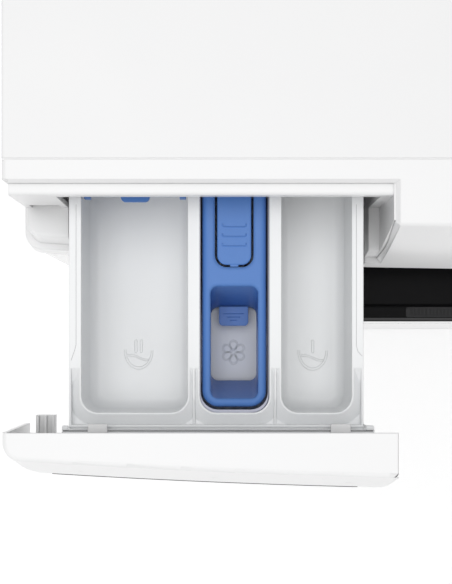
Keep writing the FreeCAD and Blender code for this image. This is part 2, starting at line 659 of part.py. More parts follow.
def drawer_tray():
    body = box(TRAY_X[0], TRAY_X[1], TRAY_Y[0], TRAY_Y[1], TRAY_FLOOR_Z - TRAY_SKIN, RIM_Z)
    body = soften(body, 2.0, lambda p, e: abs(p.z - TRAY_FLOOR_Z + TRAY_SKIN) < 0.01)
    pockets = []
    for x0, x1 in COMPARTMENTS:
        pocket = prism_z(compartment_plan(x0, x1, 0), TRAY_FLOOR_Z, RIM_Z + 1)
        pockets.append(soften(pocket, 6.0, lambda p, e: abs(p.z - TRAY_FLOOR_Z) < 0.01))
    tray = body.cut(front_trough()).cut(Part.makeCompound(pockets))
    plate = box(OPENING[0] + 1.2, OPENING[1] - 1.4, TRAY_Y[0] - 3.6, TRAY_Y[0] - 1.2, 765, 824)
    top_lip = box(TRAY_X[0], TRAY_X[1], TRAY_Y[0] - 2, TRAY_Y[0] + 0.5, RIM_Z - 14, RIM_Z - 2)
    drains = box(TRAY_X[0] + 8, TRAY_X[0] + 50, TRAY_Y[1] - 8, TRAY_Y[1] + 1, 775, 800)
    return opened(joined([tray, plate, top_lip]).cut(drains))


def softener_insert():
    """The blue insert: a crowned lid with skirts, a tongue slot and a well with sloped ends."""
    x0, x1 = INSERT_X
    plan = [(x0, INSERT_Y[0], 8.4), (x1, INSERT_Y[0], 8.4), (x1, INSERT_Y[1], 3),
            (x0, INSERT_Y[1], 3)]
    skin = INSERT_SKIN
    inner = [(x0 + skin, INSERT_Y[0] + skin, 7), (x1 - skin, INSERT_Y[0] + skin, 7),
             (x1 - skin, INSERT_Y[1] - skin, 1.6), (x0 + skin, INSERT_Y[1] - skin, 1.6)]
    body = soften(prism_z(plan, INSERT_FOOT_Z, INSERT_TOP_Z), 2.6,
                  lambda p, e: abs(p.z - INSERT_TOP_Z) < 0.01)
    body = body.cut(prism_z(inner, INSERT_FOOT_Z - 5, INSERT_TOP_Z - 2))
    well = well_shape(skin, INSERT_FOOT_Z).cut(well_shape(0, INSERT_FOOT_Z - 5))
    body = body.cut(well_shape(0, INSERT_FOOT_Z - 5)).fuse(well)
    return opened(body.cut(tongue_plan(1.2, 800, 830)).removeSplitter())


def well_shape(grow, z0):
    """The insert's window, its front and rear walls sloping together towards the floor."""
    wires = []
    for (x0, x1, y0, y1), z in ((WELL_BOTTOM, INSERT_FOOT_Z), (WELL_TOP, INSERT_TOP_Z + 0.5)):
        plan = rectangle(x0 - grow, x1 + grow, y0 - grow, y1 + grow, WELL_R + grow)
        wires.append(rounded_wire(plan, lambda v, z=z: Vector(v.x, v.y, z)))
    funnel = Part.makeLoft(wires, True, True)
    if grow:
        return funnel.common(box(-300, 0, -300, 300, z0, INSERT_TOP_Z - 1))
    x0, x1, y0, y1 = WELL_BOTTOM
    return funnel.fuse(prism_z(rectangle(x0, x1, y0, y1, WELL_R), z0, INSERT_FOOT_Z + 0.1))


def tongue_plan(grow, z0, z1):
    x0, x1 = TONGUE_X[0] - grow, TONGUE_X[1] + grow
    y0, y1 = TONGUE_Y[0] - grow, TONGUE_Y[1] + grow
    return prism_z([(x0, y0, 5 + grow), (x1, y0, 5 + grow), (x1, y1, 1), (x0, y1, 1)], z0, z1)


def release_tab():
    tab = soften(tongue_plan(0, INSERT_TOP_Z - 2.4, INSERT_TOP_Z), 0.7,
                 lambda p, e: abs(p.z - INSERT_TOP_Z) < 0.01)
    return opened(tab)


def liquid_flap():
    """The blue plate that divides the main compartment for liquid, folded up flat."""
    x0, x1 = COMPARTMENTS[0]
    y = FLAP_HINGE_Y
    plate = box(x0 + 1.5, x1 - 1.5, y, y + FLAP_LENGTH, FLAP_HINGE_Z - 1, FLAP_HINGE_Z + 1)
    spine = rod_x(y, FLAP_HINGE_Z, 2.4, x0 + 1.5, x1 - 1.5)
    middle = (x0 + x1) / 2
    handle = prism_z([(middle - 8.3, y - 1, 0), (middle - 6.8, y - 5.2, 2.5),
                      (middle + 6.8, y - 5.2, 2.5), (middle + 8.3, y - 1, 0)],
                     FLAP_HINGE_Z - 1.2, FLAP_HINGE_Z + 1.6)
    clips = [box(x, x + 3.2, y - 3.6, y + 5, FLAP_HINGE_Z - 3, FLAP_HINGE_Z + 4)
             for x in (x0 + 1.2, x1 - 4.4)]
    return opened(joined([plate, spine, handle] + clips))


# ---------------------------------------------------------------- door

def door_outline(shrink):
    half = DOOR_HALF - shrink
    return rectangle(-half, half, AXIS_Z - half, AXIS_Z + half, DOOR_CORNER_R - shrink)


def door_frame():
    y_step = -227.6
    frame = prism_y(door_outline(0), y_step, DOOR_BACK_Y)
    frame = soften(frame, 1.2, lambda p, e: p.y < y_step + 0.01)
    waist = prism_y(door_outline(1.2), -228.4, y_step)
    band = prism_y(door_outline(0), -235.0, -228.4)
    frame = joined([frame, waist, band])
    frame = frame.cut(rod_y(0, AXIS_Z, WINDOW_R, -240, -190))
    frame = frame.cut(rod_y(0, AXIS_Z, WINDOW_R + 14, -212, -190))
    pocket = box(-230, HINGE_X + 17, -224, -190, AXIS_Z - KNUCKLE_HALF - 2,
                 AXIS_Z + KNUCKLE_HALF + 2)
    pin_hole = rod_z(HINGE_X, HINGE_Y, HINGE_PIN_R, AXIS_Z - 62, AXIS_Z + 62)
    latch_pocket = box(LATCH_X - 7, LATCH_X + 7, -222, -190, AXIS_Z - 16, AXIS_Z + 16)
    return frame.cut(pocket).cut(pin_hole).cut(latch_pocket)


def door_cover():
    """The tinted front pane, with a gentle round crown over the window."""
    plate = prism_y(door_outline(0.8), -237.3, -235.1)
    return soften(plate, 0.9, lambda p, e: p.y < -237.2)


def door_glass():
    """The moulded glass bowl, its flange held between the frame and the inner ring."""
    return turned_y([(WINDOW_R + 12, -211.5, 1), (WINDOW_R + 12, -206.5, 1),
                     (WINDOW_R - 8, -206.5, 4), (WINDOW_R - 22, -150, 14), (108, -128, 18),
                     (0, -124, 0), (0, -129, 0), (105, -133, 14), (WINDOW_R - 27, -154, 10),
                     (WINDOW_R - 14, -211.5, 4)], 0, AXIS_Z)


def door_inner_ring():
    return turned_y([(WINDOW_R + 13.5, -206.2, 0), (WINDOW_R + 13.5, DOOR_BACK_Y, 1),
                     (WINDOW_R - 5, DOOR_BACK_Y, 2), (WINDOW_R - 5, -206.2, 0)], 0, AXIS_Z)


def hinge_bracket():
    z0 = AXIS_Z - KNUCKLE_HALF
    z1 = AXIS_Z + KNUCKLE_HALF
    knuckle = rod_z(HINGE_X, HINGE_Y, 6.2, z0, z1)
    arm = box(HINGE_X - 4, HINGE_X + 4, HINGE_Y, FRONT_Y + 6, z0 + 0.5, z1 - 0.5)
    plate = box(HINGE_X - 20, HINGE_X + 28, FRONT_Y + SHEET + 0.2, FRONT_Y + 4.5, z0 - 16, z1 + 16)
    hole = rod_z(HINGE_X, HINGE_Y, HINGE_PIN_R + 0.35, z0 - 1, z1 + 1)
    return joined([knuckle, arm, plate]).cut(hole)


def hinge_pin():
    return rod_z(HINGE_X, HINGE_Y, HINGE_PIN_R, AXIS_Z - 60, AXIS_Z + 60)


def latch_hook():
    """The sprung hook that reaches through the front panel into the door lock."""
    barrel = rod_x(LATCH_Y, AXIS_Z - 8, 4, LATCH_X - 4.5, LATCH_X + 4.5)
    shank = box(LATCH_X - 3, LATCH_X + 3, LATCH_Y, -181, AXIS_Z - 11, AXIS_Z - 5)
    beak = prism_x([(-187, AXIS_Z - 5.2, 0), (-181, AXIS_Z - 5.2, 0), (-187, AXIS_Z + 4, 1)],
                   LATCH_X - 3, LATCH_X + 3)
    return joined([barrel, shank, beak])


def door_lock():
    case = box(LATCH_X - 15, LATCH_X + 18, FRONT_Y + SHEET + 0.3, -169, AXIS_Z - 27, AXIS_Z + 27)
    hollow = box(LATCH_X - 7, LATCH_X + 7, FRONT_Y, -172, AXIS_Z - 17, AXIS_Z + 17)
    return case.cut(hollow)


def door_gasket():
    """The rubber bellows behind the porthole."""
    return turned_y([(PORTHOLE_R - 0.4, FRONT_Y + 2, 0), (PORTHOLE_R - 0.4, FRONT_Y + 20, 3),
                     (PORTHOLE_R + 5, FRONT_Y + 24, 4), (PORTHOLE_R + 5, TUB_FRONT_Y - 18, 4),
                     (PORTHOLE_R - 6, TUB_FRONT_Y - 10, 3), (PORTHOLE_R - 6, TUB_FRONT_Y - 6, 0),
                     (PORTHOLE_R - 9, TUB_FRONT_Y - 6, 0), (PORTHOLE_R - 9, TUB_FRONT_Y - 12, 4),
                     (PORTHOLE_R + 2, TUB_FRONT_Y - 20, 2), (PORTHOLE_R + 2, FRONT_Y + 26, 2),
                     (PORTHOLE_R - 4.4, FRONT_Y + 20, 2), (PORTHOLE_R - 4.4, FRONT_Y + 2, 0)],
                    0, AXIS_Z)


# ---------------------------------------------------------------- tub group

def tub_front():
    """The front tub half, with its mouth, its joint flange, the sump and the sump's outlet."""
    outer = TUB_R + TUB_WALL
    shell = turned_y([(outer, TUB_JOIN_Y, 0), (outer, TUB_FRONT_Y, 16),
                      (PORTHOLE_R + 20, TUB_FRONT_Y, 3), (PORTHOLE_R + 20, TUB_FRONT_Y + 5, 0),
                      (TUB_R, TUB_FRONT_Y + 5, 12), (TUB_R, TUB_JOIN_Y, 0)], 0, AXIS_Z)
    flange = ring_y(0, AXIS_Z, TUB_FLANGE_R, TUB_R + 1, TUB_JOIN_Y - 7, TUB_JOIN_Y - 0.4)
    sump = box(-62, 62, -100, TUB_JOIN_Y - 8, AXIS_Z - 292, AXIS_Z - 200)
    sump = sump.cut(box(-58, 58, -96, TUB_JOIN_Y - 12, AXIS_Z - 288, AXIS_Z - 190))
    core = rod_y(0, AXIS_Z, TUB_R, TUB_FRONT_Y - 5, TUB_JOIN_Y + 1)
    slot = box(-58, 58, -96, TUB_JOIN_Y - 12, AXIS_Z - 288, AXIS_Z - 200)
    pipe = rod_x(PUMP_HOSE_Y, AXIS_Z - 278, 12, 60, PUMP_X + 12)
    drop = rod_z(PUMP_X, PUMP_HOSE_Y, 15, 172, AXIS_Z - 264)
    bore = rod_x(PUMP_HOSE_Y, AXIS_Z - 278, 9, 50, PUMP_X)
    bore = bore.fuse(rod_z(PUMP_X, PUMP_HOSE_Y, 11, 160, AXIS_Z - 278))
    shell = joined([shell, flange, sump.cut(core)])
    return joined([shell.cut(slot), pipe, drop]).cut(bore).cut(tub_screw_holes())


def tub_rear():
    outer = TUB_R + TUB_WALL
    shell = turned_y([(outer, TUB_JOIN_Y, 0), (outer, TUB_BACK_Y + 6, 14),
                      (SHAFT_R + 14, TUB_BACK_Y + 6, 2), (SHAFT_R + 14, TUB_BACK_Y - 20, 0),
                      (SHAFT_R + 24, TUB_BACK_Y - 20, 0), (SHAFT_R + 28, TUB_BACK_Y, 2),
                      (TUB_R, TUB_BACK_Y, 10), (TUB_R, TUB_JOIN_Y, 0)], 0, AXIS_Z)
    flange = ring_y(0, AXIS_Z, TUB_FLANGE_R, TUB_R + 1, TUB_JOIN_Y + 0.4, TUB_JOIN_Y + 7)
    ribs = []
    for step in range(12):
        rib = box(48, TUB_R - 8, TUB_BACK_Y + 5, TUB_BACK_Y + 16, AXIS_Z - 1.8, AXIS_Z + 1.8)
        rib.rotate(Vector(0, 0, AXIS_Z), Vector(0, 1, 0), 30 * step + 15)
        ribs.append(rib)
    feet = [box(x - 16, x + 16, DAMPER_Y - 14, DAMPER_Y + 14, 247, 292)
            for x in (-DAMPER_X, DAMPER_X)]
    ears = [box(x - 12, x + 12, SPRING_Y - 8, SPRING_Y + 8, 600, 634)
            for x in (-SPRING_X, SPRING_X)]
    core = rod_y(0, AXIS_Z, TUB_R + 1, TUB_JOIN_Y - 5, TUB_BACK_Y)
    spout = rod_z(SPOUT_X, SPOUT_Y, 14, 600, 704)
    lugs = Part.makeCompound(feet + ears + [spout]).cut(core).Solids
    tub = joined([shell, flange] + ribs + lugs)
    return tub.cut(rod_z(SPOUT_X, SPOUT_Y, 10.5, 590, 710)).cut(tub_screw_holes())


def tub_screw_points():
    points = []
    for step in range(12):
        angle = math.radians(30 * step + 15)
        points.append(((TUB_R + 11) * math.cos(angle), AXIS_Z + (TUB_R + 11) * math.sin(angle)))
    return points


def tub_screw_holes():
    return Part.makeCompound([rod_y(x, z, 2.0, TUB_JOIN_Y - 9, TUB_JOIN_Y + 9)
                              for x, z in tub_screw_points()])


def tub_screws():
    return Part.makeCompound([screw(x, TUB_JOIN_Y - 7, z, Vector(0, -1, 0), 4.0, 18)
                              for x, z in tub_screw_points()])


def counterweights():
    """Two cast blocks: a yoke over the mouth and a saddle on the tub."""
    yoke = ring_y(0, AXIS_Z, TUB_R - 2, PORTHOLE_R + 22, TUB_FRONT_Y - 27, TUB_FRONT_Y - 0.3)
    yoke = yoke.common(box(-300, 300, -300, 0, AXIS_Z + 30, AXIS_Z + 300))
    saddle = box(-60, 165, 50, 190, AXIS_Z + 180, AXIS_Z + 305)
    saddle = saddle.cut(rod_y(0, AXIS_Z, TUB_R + TUB_WALL + 0.3, 0, 300))
    return Part.makeCompound(yoke.Solids + saddle.Solids)


def heater():
    """The sheathed element, a loop low in the sump, on its sealed terminal head."""
    z = AXIS_Z - 270
    runs = [rod_y(x, z, 4, -86, -4) for x in (-24, 24)]
    bend = rod_x(-4, z, 4, -24, 24)
    balls = [Part.makeSphere(4, Vector(x, -4, z)) for x in (-24, 24)]
    head = box(-34, 34, -95.6, -86, z - 11, z + 11)
    return joined(runs + [bend, head] + balls)


def motor():
    can = rod_y(MOTOR_X, MOTOR_Z, 62, 110, 240)
    ends = [ring_y(MOTOR_X, MOTOR_Z, 66, 20, y, y + 12) for y in (104, 234)]
    shaft = rod_y(MOTOR_X, MOTOR_Z, 6.0, 96, 282)
    brackets = [box(x - 8, x + 8, 120, 230, MOTOR_Z + 30, MOTOR_Z + 100)
                for x in (MOTOR_X - 56, MOTOR_X + 56)]
    hull = rod_y(0, AXIS_Z, TUB_R + TUB_WALL + 0.3, 0, 300)
    return joined([can, shaft] + ends + [b.cut(hull) for b in brackets])


def drum_bearings():
    front = ring_y(0, AXIS_Z, SHAFT_R + 13.8, SHAFT_R + 0.3, TUB_BACK_Y - 18, TUB_BACK_Y - 4)
    rear = ring_y(0, AXIS_Z, SHAFT_R + 13.8, SHAFT_R + 0.3, TUB_BACK_Y - 2, TUB_BACK_Y + 5)
    return Part.makeCompound([front, rear])


def drive_belt():
    """A flat belt round both pulleys: two arcs joined by their outer tangents."""
    y0, y1 = BELT_Y

    def loop(extra):
        big = PULLEY_R + extra
        small = MOTOR_PULLEY_R + extra
        away = Vector(MOTOR_X, 0, MOTOR_Z - AXIS_Z)
        lean = math.asin((big - small) / away.Length)
        angle = math.atan2(away.z, away.x)
        discs = rod_y(0, AXIS_Z, big, y0, y1).fuse(rod_y(MOTOR_X, MOTOR_Z, small, y0, y1))
        points = []
        for sign in (1, -1):
            turn = angle + sign * (math.pi / 2 - lean)
            points.append((big * math.cos(turn), AXIS_Z + big * math.sin(turn), 0))
            points.append((MOTOR_X + small * math.cos(turn), MOTOR_Z + small * math.sin(turn), 0))
        quad = [points[0], points[1], points[3], points[2]]
        return discs.fuse(prism_y(quad, y0, y1))

    return loop(3.0).cut(loop(0.35)).removeSplitter()


def damper_cylinders():
    tubes = []
    for x in (-DAMPER_X, DAMPER_X):
        tubes.append(rod_z(x, DAMPER_Y, 15, BASE_Z + 12, 175).cut(
            rod_z(x, DAMPER_Y, 11, BASE_Z + 24, 180)))
    return Part.makeCompound(tubes)


def damper_rods():
    return Part.makeCompound([rod_z(x, DAMPER_Y, 8, 90, 246.7) for x in (-DAMPER_X, DAMPER_X)])


def suspension_springs():
    """Two close helical springs between the cabinet's hangers and the tub's ears."""
    coils = []
    z0 = 637.0
    z1 = 815.5
    for x in (-SPRING_X, SPRING_X):
        path = Part.makeHelix(18.0, z1 - z0, 11.0)
        path.translate(Vector(x, SPRING_Y, z0))
        start = Vector(x + 11, SPRING_Y, z0)
        section = Part.Wire(Part.makeCircle(2.2, start, Vector(0, 1, 0.26)))
        coils.append(Part.Wire(path).makePipeShell([section], True, True))
    return Part.makeCompound(coils)


# ---------------------------------------------------------------- drum

def drum_shell():
    skin = DRUM_SKIN
    return turned_y([(DRUM_R, DRUM_BACK_Y, 6), (DRUM_R, DRUM_FRONT_Y, 14),
                     (DRUM_MOUTH_R, DRUM_FRONT_Y, 2), (DRUM_MOUTH_R, DRUM_FRONT_Y + 12, 0),
                     (DRUM_MOUTH_R + skin, DRUM_FRONT_Y + 12, 0),
                     (DRUM_MOUTH_R + skin, DRUM_FRONT_Y + skin, 0.5),
                     (DRUM_R - skin, DRUM_FRONT_Y + skin, 12.5),
                     (DRUM_R - skin, DRUM_BACK_Y - skin, 4.5), (0, DRUM_BACK_Y - skin, 0),
                     (0, DRUM_BACK_Y, 0)], 0, AXIS_Z)


def drum_paddles():
    """Three hollow lifters inside the drum."""
    paddles = []
    for step in range(3):
        profile = [(-34, -DRUM_R + 6, 0), (34, -DRUM_R + 6, 0), (9, -DRUM_R + 58, 8),
                   (-9, -DRUM_R + 58, 8)]
        wire = rounded_wire(profile, lambda v: Vector(v.x, -88, AXIS_Z + v.y))
        paddle = Part.Face(wire).extrude(Vector(0, 262, 0))
        paddle = paddle.common(rod_y(0, AXIS_Z, DRUM_R - DRUM_SKIN - 0.2, -100, 200))
        paddle.rotate(Vector(0, 0, AXIS_Z), Vector(0, 1, 0), 120 * step + 40)
        paddles.append(paddle)
    return Part.makeCompound(paddles)


def drum_spider():
    hub = rod_y(0, AXIS_Z, 34, DRUM_BACK_Y + 0.2, DRUM_BACK_Y + 12)
    arms = []
    for step in range(3):
        arm = box(20, DRUM_R - 12, DRUM_BACK_Y + 0.2, DRUM_BACK_Y + 10, AXIS_Z - 13, AXIS_Z + 13)
        arm.rotate(Vector(0, 0, AXIS_Z), Vector(0, 1, 0), 120 * step + 100)
        arms.append(arm)
    shaft = rod_y(0, AXIS_Z, SHAFT_R, DRUM_BACK_Y + 5, 290)
    return joined([hub, shaft] + arms)


def drum_pulley():
    rim = ring_y(0, AXIS_Z, PULLEY_R, PULLEY_R - 12, BELT_Y[0] - 2, BELT_Y[1] + 2)
    hub = ring_y(0, AXIS_Z, 30, SHAFT_R + 0.05, BELT_Y[0] - 2, BELT_Y[1] + 2)
    spokes = []
    for step in range(6):
        spoke = box(26, PULLEY_R - 8, BELT_Y[0] + 2, BELT_Y[1] - 2, AXIS_Z - 9, AXIS_Z + 9)
        spoke.rotate(Vector(0, 0, AXIS_Z), Vector(0, 1, 0), 60 * step)
        spokes.append(spoke)
    return joined([rim, hub] + spokes)


def motor_pulley():
    return ring_y(MOTOR_X, MOTOR_Z, MOTOR_PULLEY_R, 6.3, BELT_Y[0] - 2, BELT_Y[1] + 1.5)


# ---------------------------------------------------------------- water and power

def inlet_valve():
    x, z = INLET_AT
    thread = ring_y(x, z, 13.2, 9.0, REAR_Y - 12, REAR_MOST_Y)
    body = box(x - 20, x + 20, 282, REAR_Y - 12, z - 20, z + 20)
    coil = rod_z(x, 296, 15, z - 48, z - 19)
    collar = ring_y(x, z, 20, 9, REAR_Y - 14, REAR_Y - SHEET - 0.2)
    collar = collar.fuse(ring_y(x, z, 14.6, 9, REAR_Y - 3, REAR_Y + 2))
    tail = rod_y(x, z, 7, 262, 283)
    bore = rod_y(x, z, 9, REAR_Y - 30, REAR_MOST_Y + 1)
    return joined([body, coil, collar, tail, thread]).cut(bore)


def valve_hose():
    x, z = INLET_AT
    tube = rod_y(x, z, 9.5, 125.2, 276)
    return tube.cut(rod_y(x, z, 7.2, 255, 277))


def fill_hose():
    """The bellows from the dispenser's spout down to the tub."""
    tube = ring_z(SPOUT_X, SPOUT_Y, 19, 15.4, 690, 745)
    ribs = [ring_z(SPOUT_X, SPOUT_Y, 21.5, 16, z, z + 4) for z in range(696, 740, 8)]
    return joined([tube] + ribs)


def sump_hose():
    tube = ring_z(PUMP_X, PUMP_HOSE_Y, 19, 15.6, 120, 182)
    ribs = [ring_z(PUMP_X, PUMP_HOSE_Y, 21.5, 16, z, z + 4) for z in range(128, 178, 10)]
    return joined([tube] + ribs)


def drain_pump():
    barrel = ring_y(PUMP_X, PUMP_Z, 30, 26, -176, -40)
    back = rod_y(PUMP_X, PUMP_Z, 30, -42, -30)
    motor_can = rod_y(PUMP_X, PUMP_Z, 24, -30, 20)
    spigot = ring_z(PUMP_X, PUMP_HOSE_Y, 15, 11, PUMP_Z + 27.5, 134)
    side = pump_outlet()
    stand = box(PUMP_X - 26, PUMP_X + 26, -150, -50, BASE_Z + 22.4, PUMP_Z - 20)
    stand = stand.cut(rod_y(PUMP_X, PUMP_Z, 29, -180, 0))
    body = joined([barrel, back, motor_can, spigot, side, stand])
    return body.cut(rod_z(PUMP_X, PUMP_HOSE_Y, 11, PUMP_Z, 140))


def pump_outlet():
    return rod_x(PUMP_OUTLET_Y, PUMP_Z, 10, PUMP_X + 27, PUMP_X + 62).cut(
        rod_x(PUMP_OUTLET_Y, PUMP_Z, 7, PUMP_X + 20, PUMP_X + 70))


def pump_filter_cap():
    cap = rod_y(PUMP_X, PUMP_Z, 29, -190, -176.4)
    grip = box(PUMP_X - 3, PUMP_X + 3, -193.2, -189, PUMP_Z - 24, PUMP_Z + 15)
    plug = rod_y(PUMP_X, PUMP_Z, 24, -177, -150)
    return joined([cap, grip, plug])


def drain_pipe():
    """The outlet pipe from the pump up the rear right corner, ending in the hose spigot."""
    x, z = DRAIN_AT
    lower = rod_y(RISER_X, PUMP_Z, 10, PUMP_OUTLET_Y - 8, RISER_Y + 6)
    riser = rod_z(RISER_X, RISER_Y, 10, PUMP_Z, z - 20)
    across = rod_x(RISER_Y, z - 20, 10, x, RISER_X)
    rise = rod_z(x, RISER_Y, 10, z - 20, z)
    spigot = rod_y(x, z, 10, RISER_Y, REAR_Y + 1)
    spigot = spigot.fuse(rod_y(x, z, 10.5, REAR_Y + 1, REAR_MOST_Y))
    elbows = [Part.makeSphere(10, Vector(*p)) for p in
              ((RISER_X, RISER_Y, PUMP_Z), (RISER_X, RISER_Y, z - 20), (x, RISER_Y, z - 20),
               (x, RISER_Y, z))]
    pipe = joined([lower, riser, across, rise, spigot] + elbows)
    pipe = pipe.cut(rod_y(x, z, 8, 302, REAR_MOST_Y + 1))
    return pipe.cut(rod_x(PUMP_OUTLET_Y, PUMP_Z, 10.3, PUMP_X + 20, PUMP_X + 62.2))


def mains_gland():
    x, z = MAINS_AT
    flange = ring_y(x, z, 14, 5, REAR_Y + 0.1, REAR_Y + 5)
    neck = ring_y(x, z, 8.6, 5, REAR_Y - 18, REAR_Y + 1)
    return joined([flange, neck])


PIECES = {
    "control_panel": control_panel,
    "display_window": display_window,
    "control_board": control_board,
    "programme_knob": programme_knob,
    "power_button": lambda: round_button(POWER_AT),
    "start_button": lambda: round_button(START_AT),
    "left_side_panel": lambda: side_panel(-1),
    "right_side_panel": lambda: side_panel(1),
    "front_panel": front_panel,
    "kick_plate": kick_plate,
    "service_flap": service_flap,
    "base_tray": base_tray,
    "foot_front_left": lambda: foot(-FOOT_X, FOOT_Y[0]),
    "foot_front_right": lambda: foot(FOOT_X, FOOT_Y[0]),
    "foot_rear_left": lambda: foot(-FOOT_X, FOOT_Y[1]),
    "foot_rear_right": lambda: foot(FOOT_X, FOOT_Y[1]),
    "rear_panel": rear_panel,
    "rear_access_cover": rear_access_cover,
    "worktop": worktop,
    "cross_braces": cross_braces,
    "cabinet_screws": cabinet_screws,
    "dispenser_housing": dispenser_housing,
    "drawer_fascia": drawer_fascia,
    "drawer_tray": drawer_tray,
    "softener_insert": softener_insert,
    "release_tab": release_tab,
    "liquid_flap": liquid_flap,
    "door_frame": door_frame,
    "door_cover": door_cover,
    "door_glass": door_glass,
    "door_inner_ring": door_inner_ring,
    "hinge_bracket": hinge_bracket,
    "hinge_pin": hinge_pin,
    "latch_hook": latch_hook,
    "door_lock": door_lock,
    "door_gasket": door_gasket,
    "tub_front": tub_front,
    "tub_rear": tub_rear,
    "tub_screws": tub_screws,
    "counterweights": counterweights,
    "heater": heater,
    "motor": motor,
    "drum_bearings": drum_bearings,
    "drive_belt": drive_belt,
    "damper_cylinders": damper_cylinders,
    "damper_rods": damper_rods,
    "suspension_springs": suspension_springs,
    "drum_shell": drum_shell,
    "drum_paddles": drum_paddles,
    "drum_spider": drum_spider,
    "drum_pulley": drum_pulley,
    "motor_pulley": motor_pulley,
    "inlet_valve": inlet_valve,
    "valve_hose": valve_hose,
    "fill_hose": fill_hose,
    "sump_hose": sump_hose,
    "drain_pump": drain_pump,
    "pump_filter_cap": pump_filter_cap,
    "drain_pipe": drain_pipe,
    "mains_gland": mains_gland,
}


os.makedirs("parts", exist_ok=True)
for name, make in PIECES.items():
    save(name, make())
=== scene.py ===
"""Front load washing machine with its dispenser drawer pulled out, dressed for rendering."""
import json
import math

import bmesh
import bpy
from mathutils import Matrix, Vector
from mathutils.bvhtree import BVHTree


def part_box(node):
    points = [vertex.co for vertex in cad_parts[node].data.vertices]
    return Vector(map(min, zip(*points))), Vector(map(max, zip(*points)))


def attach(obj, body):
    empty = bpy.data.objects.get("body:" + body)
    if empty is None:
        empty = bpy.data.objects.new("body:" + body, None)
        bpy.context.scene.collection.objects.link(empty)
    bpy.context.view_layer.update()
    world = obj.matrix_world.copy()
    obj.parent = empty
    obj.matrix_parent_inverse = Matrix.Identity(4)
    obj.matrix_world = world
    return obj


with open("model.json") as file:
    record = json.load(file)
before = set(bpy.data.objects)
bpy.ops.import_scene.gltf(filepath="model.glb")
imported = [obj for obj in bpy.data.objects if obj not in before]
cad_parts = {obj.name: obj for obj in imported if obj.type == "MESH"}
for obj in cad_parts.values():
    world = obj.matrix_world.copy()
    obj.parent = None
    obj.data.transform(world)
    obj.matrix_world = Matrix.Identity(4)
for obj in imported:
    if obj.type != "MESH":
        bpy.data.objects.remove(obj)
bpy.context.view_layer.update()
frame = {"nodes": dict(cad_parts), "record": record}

MM = 0.001
NODES = frame["nodes"]
FORWARD = Vector((0, 1, 0))                  # from in front of the machine, into it

TRAY_LOW, TRAY_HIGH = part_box("drawer_tray")
INSERT_LOW, INSERT_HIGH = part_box("softener_insert")
FASCIA_LOW, FASCIA_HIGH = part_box("drawer_fascia")
DOOR_LOW, DOOR_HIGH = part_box("door_frame")
PANEL_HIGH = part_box("control_panel")[1]

INSERT_X = (INSERT_LOW.x + INSERT_HIGH.x) / 2
AXIS_Z = (DOOR_LOW.z + DOOR_HIGH.z) / 2      # the drum's and the door's own middle height
WINDOW_R = 160 * MM                          # clear part of the door's tinted pane
TRAY_FLOOR_Z = TRAY_LOW.z + 3 * MM           # the plate behind the fascia reaches 3 mm lower
RIM_Z = TRAY_LOW.z + 53 * MM
FRONT_BOW = 9.8 * MM                         # how far the front stands forward in its middle
GRAIN_DEPTH = 0.3 * MM                       # what a bump strength of 1 stands for
PAINTED_SHADE_REACH = 60 * MM                         # how near walls have to be for the painted shade to darken a corner


# ---------------------------------------------------------------- materials

def node_tree(name):
    """A new material with its Principled shader, and a maker of further nodes in it."""
    material = bpy.data.materials.new(name)
    material.use_nodes = True
    tree = material.node_tree
    shader = tree.nodes["Principled BSDF"]

    def make(kind, links=(), **values):
        node = tree.nodes.new(kind)
        for key, value in values.items():
            if hasattr(node, key):
                setattr(node, key, value)
            else:
                node.inputs[key.replace("_", " ")].default_value = value
        for source, target in links:
            tree.links.new(source, node.inputs[target])
        return node

    return material, tree, shader, make


def object_place(make):
    return make("ShaderNodeTexCoord").outputs["Object"]


def two_tone(make, factor, dark, light):
    """A colour that runs from dark to light with the factor."""
    tone = make("ShaderNodeMix", [(factor, 0)], data_type="RGBA")
    tone.inputs[6].default_value = (*dark, 1)
    tone.inputs[7].default_value = (*light, 1)
    return tone.outputs[2]


def ranged(make, source, low, high, start=0.0, end=1.0):
    """The source's span from start to end, led to low to high."""
    scale = make("ShaderNodeMapRange", [(source, "Value")])
    scale.inputs["From Min"].default_value = start
    scale.inputs["From Max"].default_value = end
    scale.inputs["To Min"].default_value = low
    scale.inputs["To Max"].default_value = high
    return scale.outputs["Result"]


def round_edges(make, radius):
    """A normal that rounds sharp edges by a radius in millimetres."""
    bevel = make("ShaderNodeBevel", samples=4)
    bevel.inputs["Radius"].default_value = radius * MM
    return bevel.outputs[0]


def grained(make, height, strength, edge):
    """A normal with a fine grain over rounded edges."""
    relief = make("ShaderNodeBump", [(height, "Height"), (round_edges(make, edge), "Normal")])
    relief.inputs["Strength"].default_value = strength
    relief.inputs["Distance"].default_value = GRAIN_DEPTH
    return relief.outputs["Normal"]


def wire(tree, shader, colour, gloss, normal):
    tree.links.new(colour, shader.inputs["Base Color"])
    tree.links.new(gloss, shader.inputs["Roughness"])
    tree.links.new(normal, shader.inputs["Normal"])


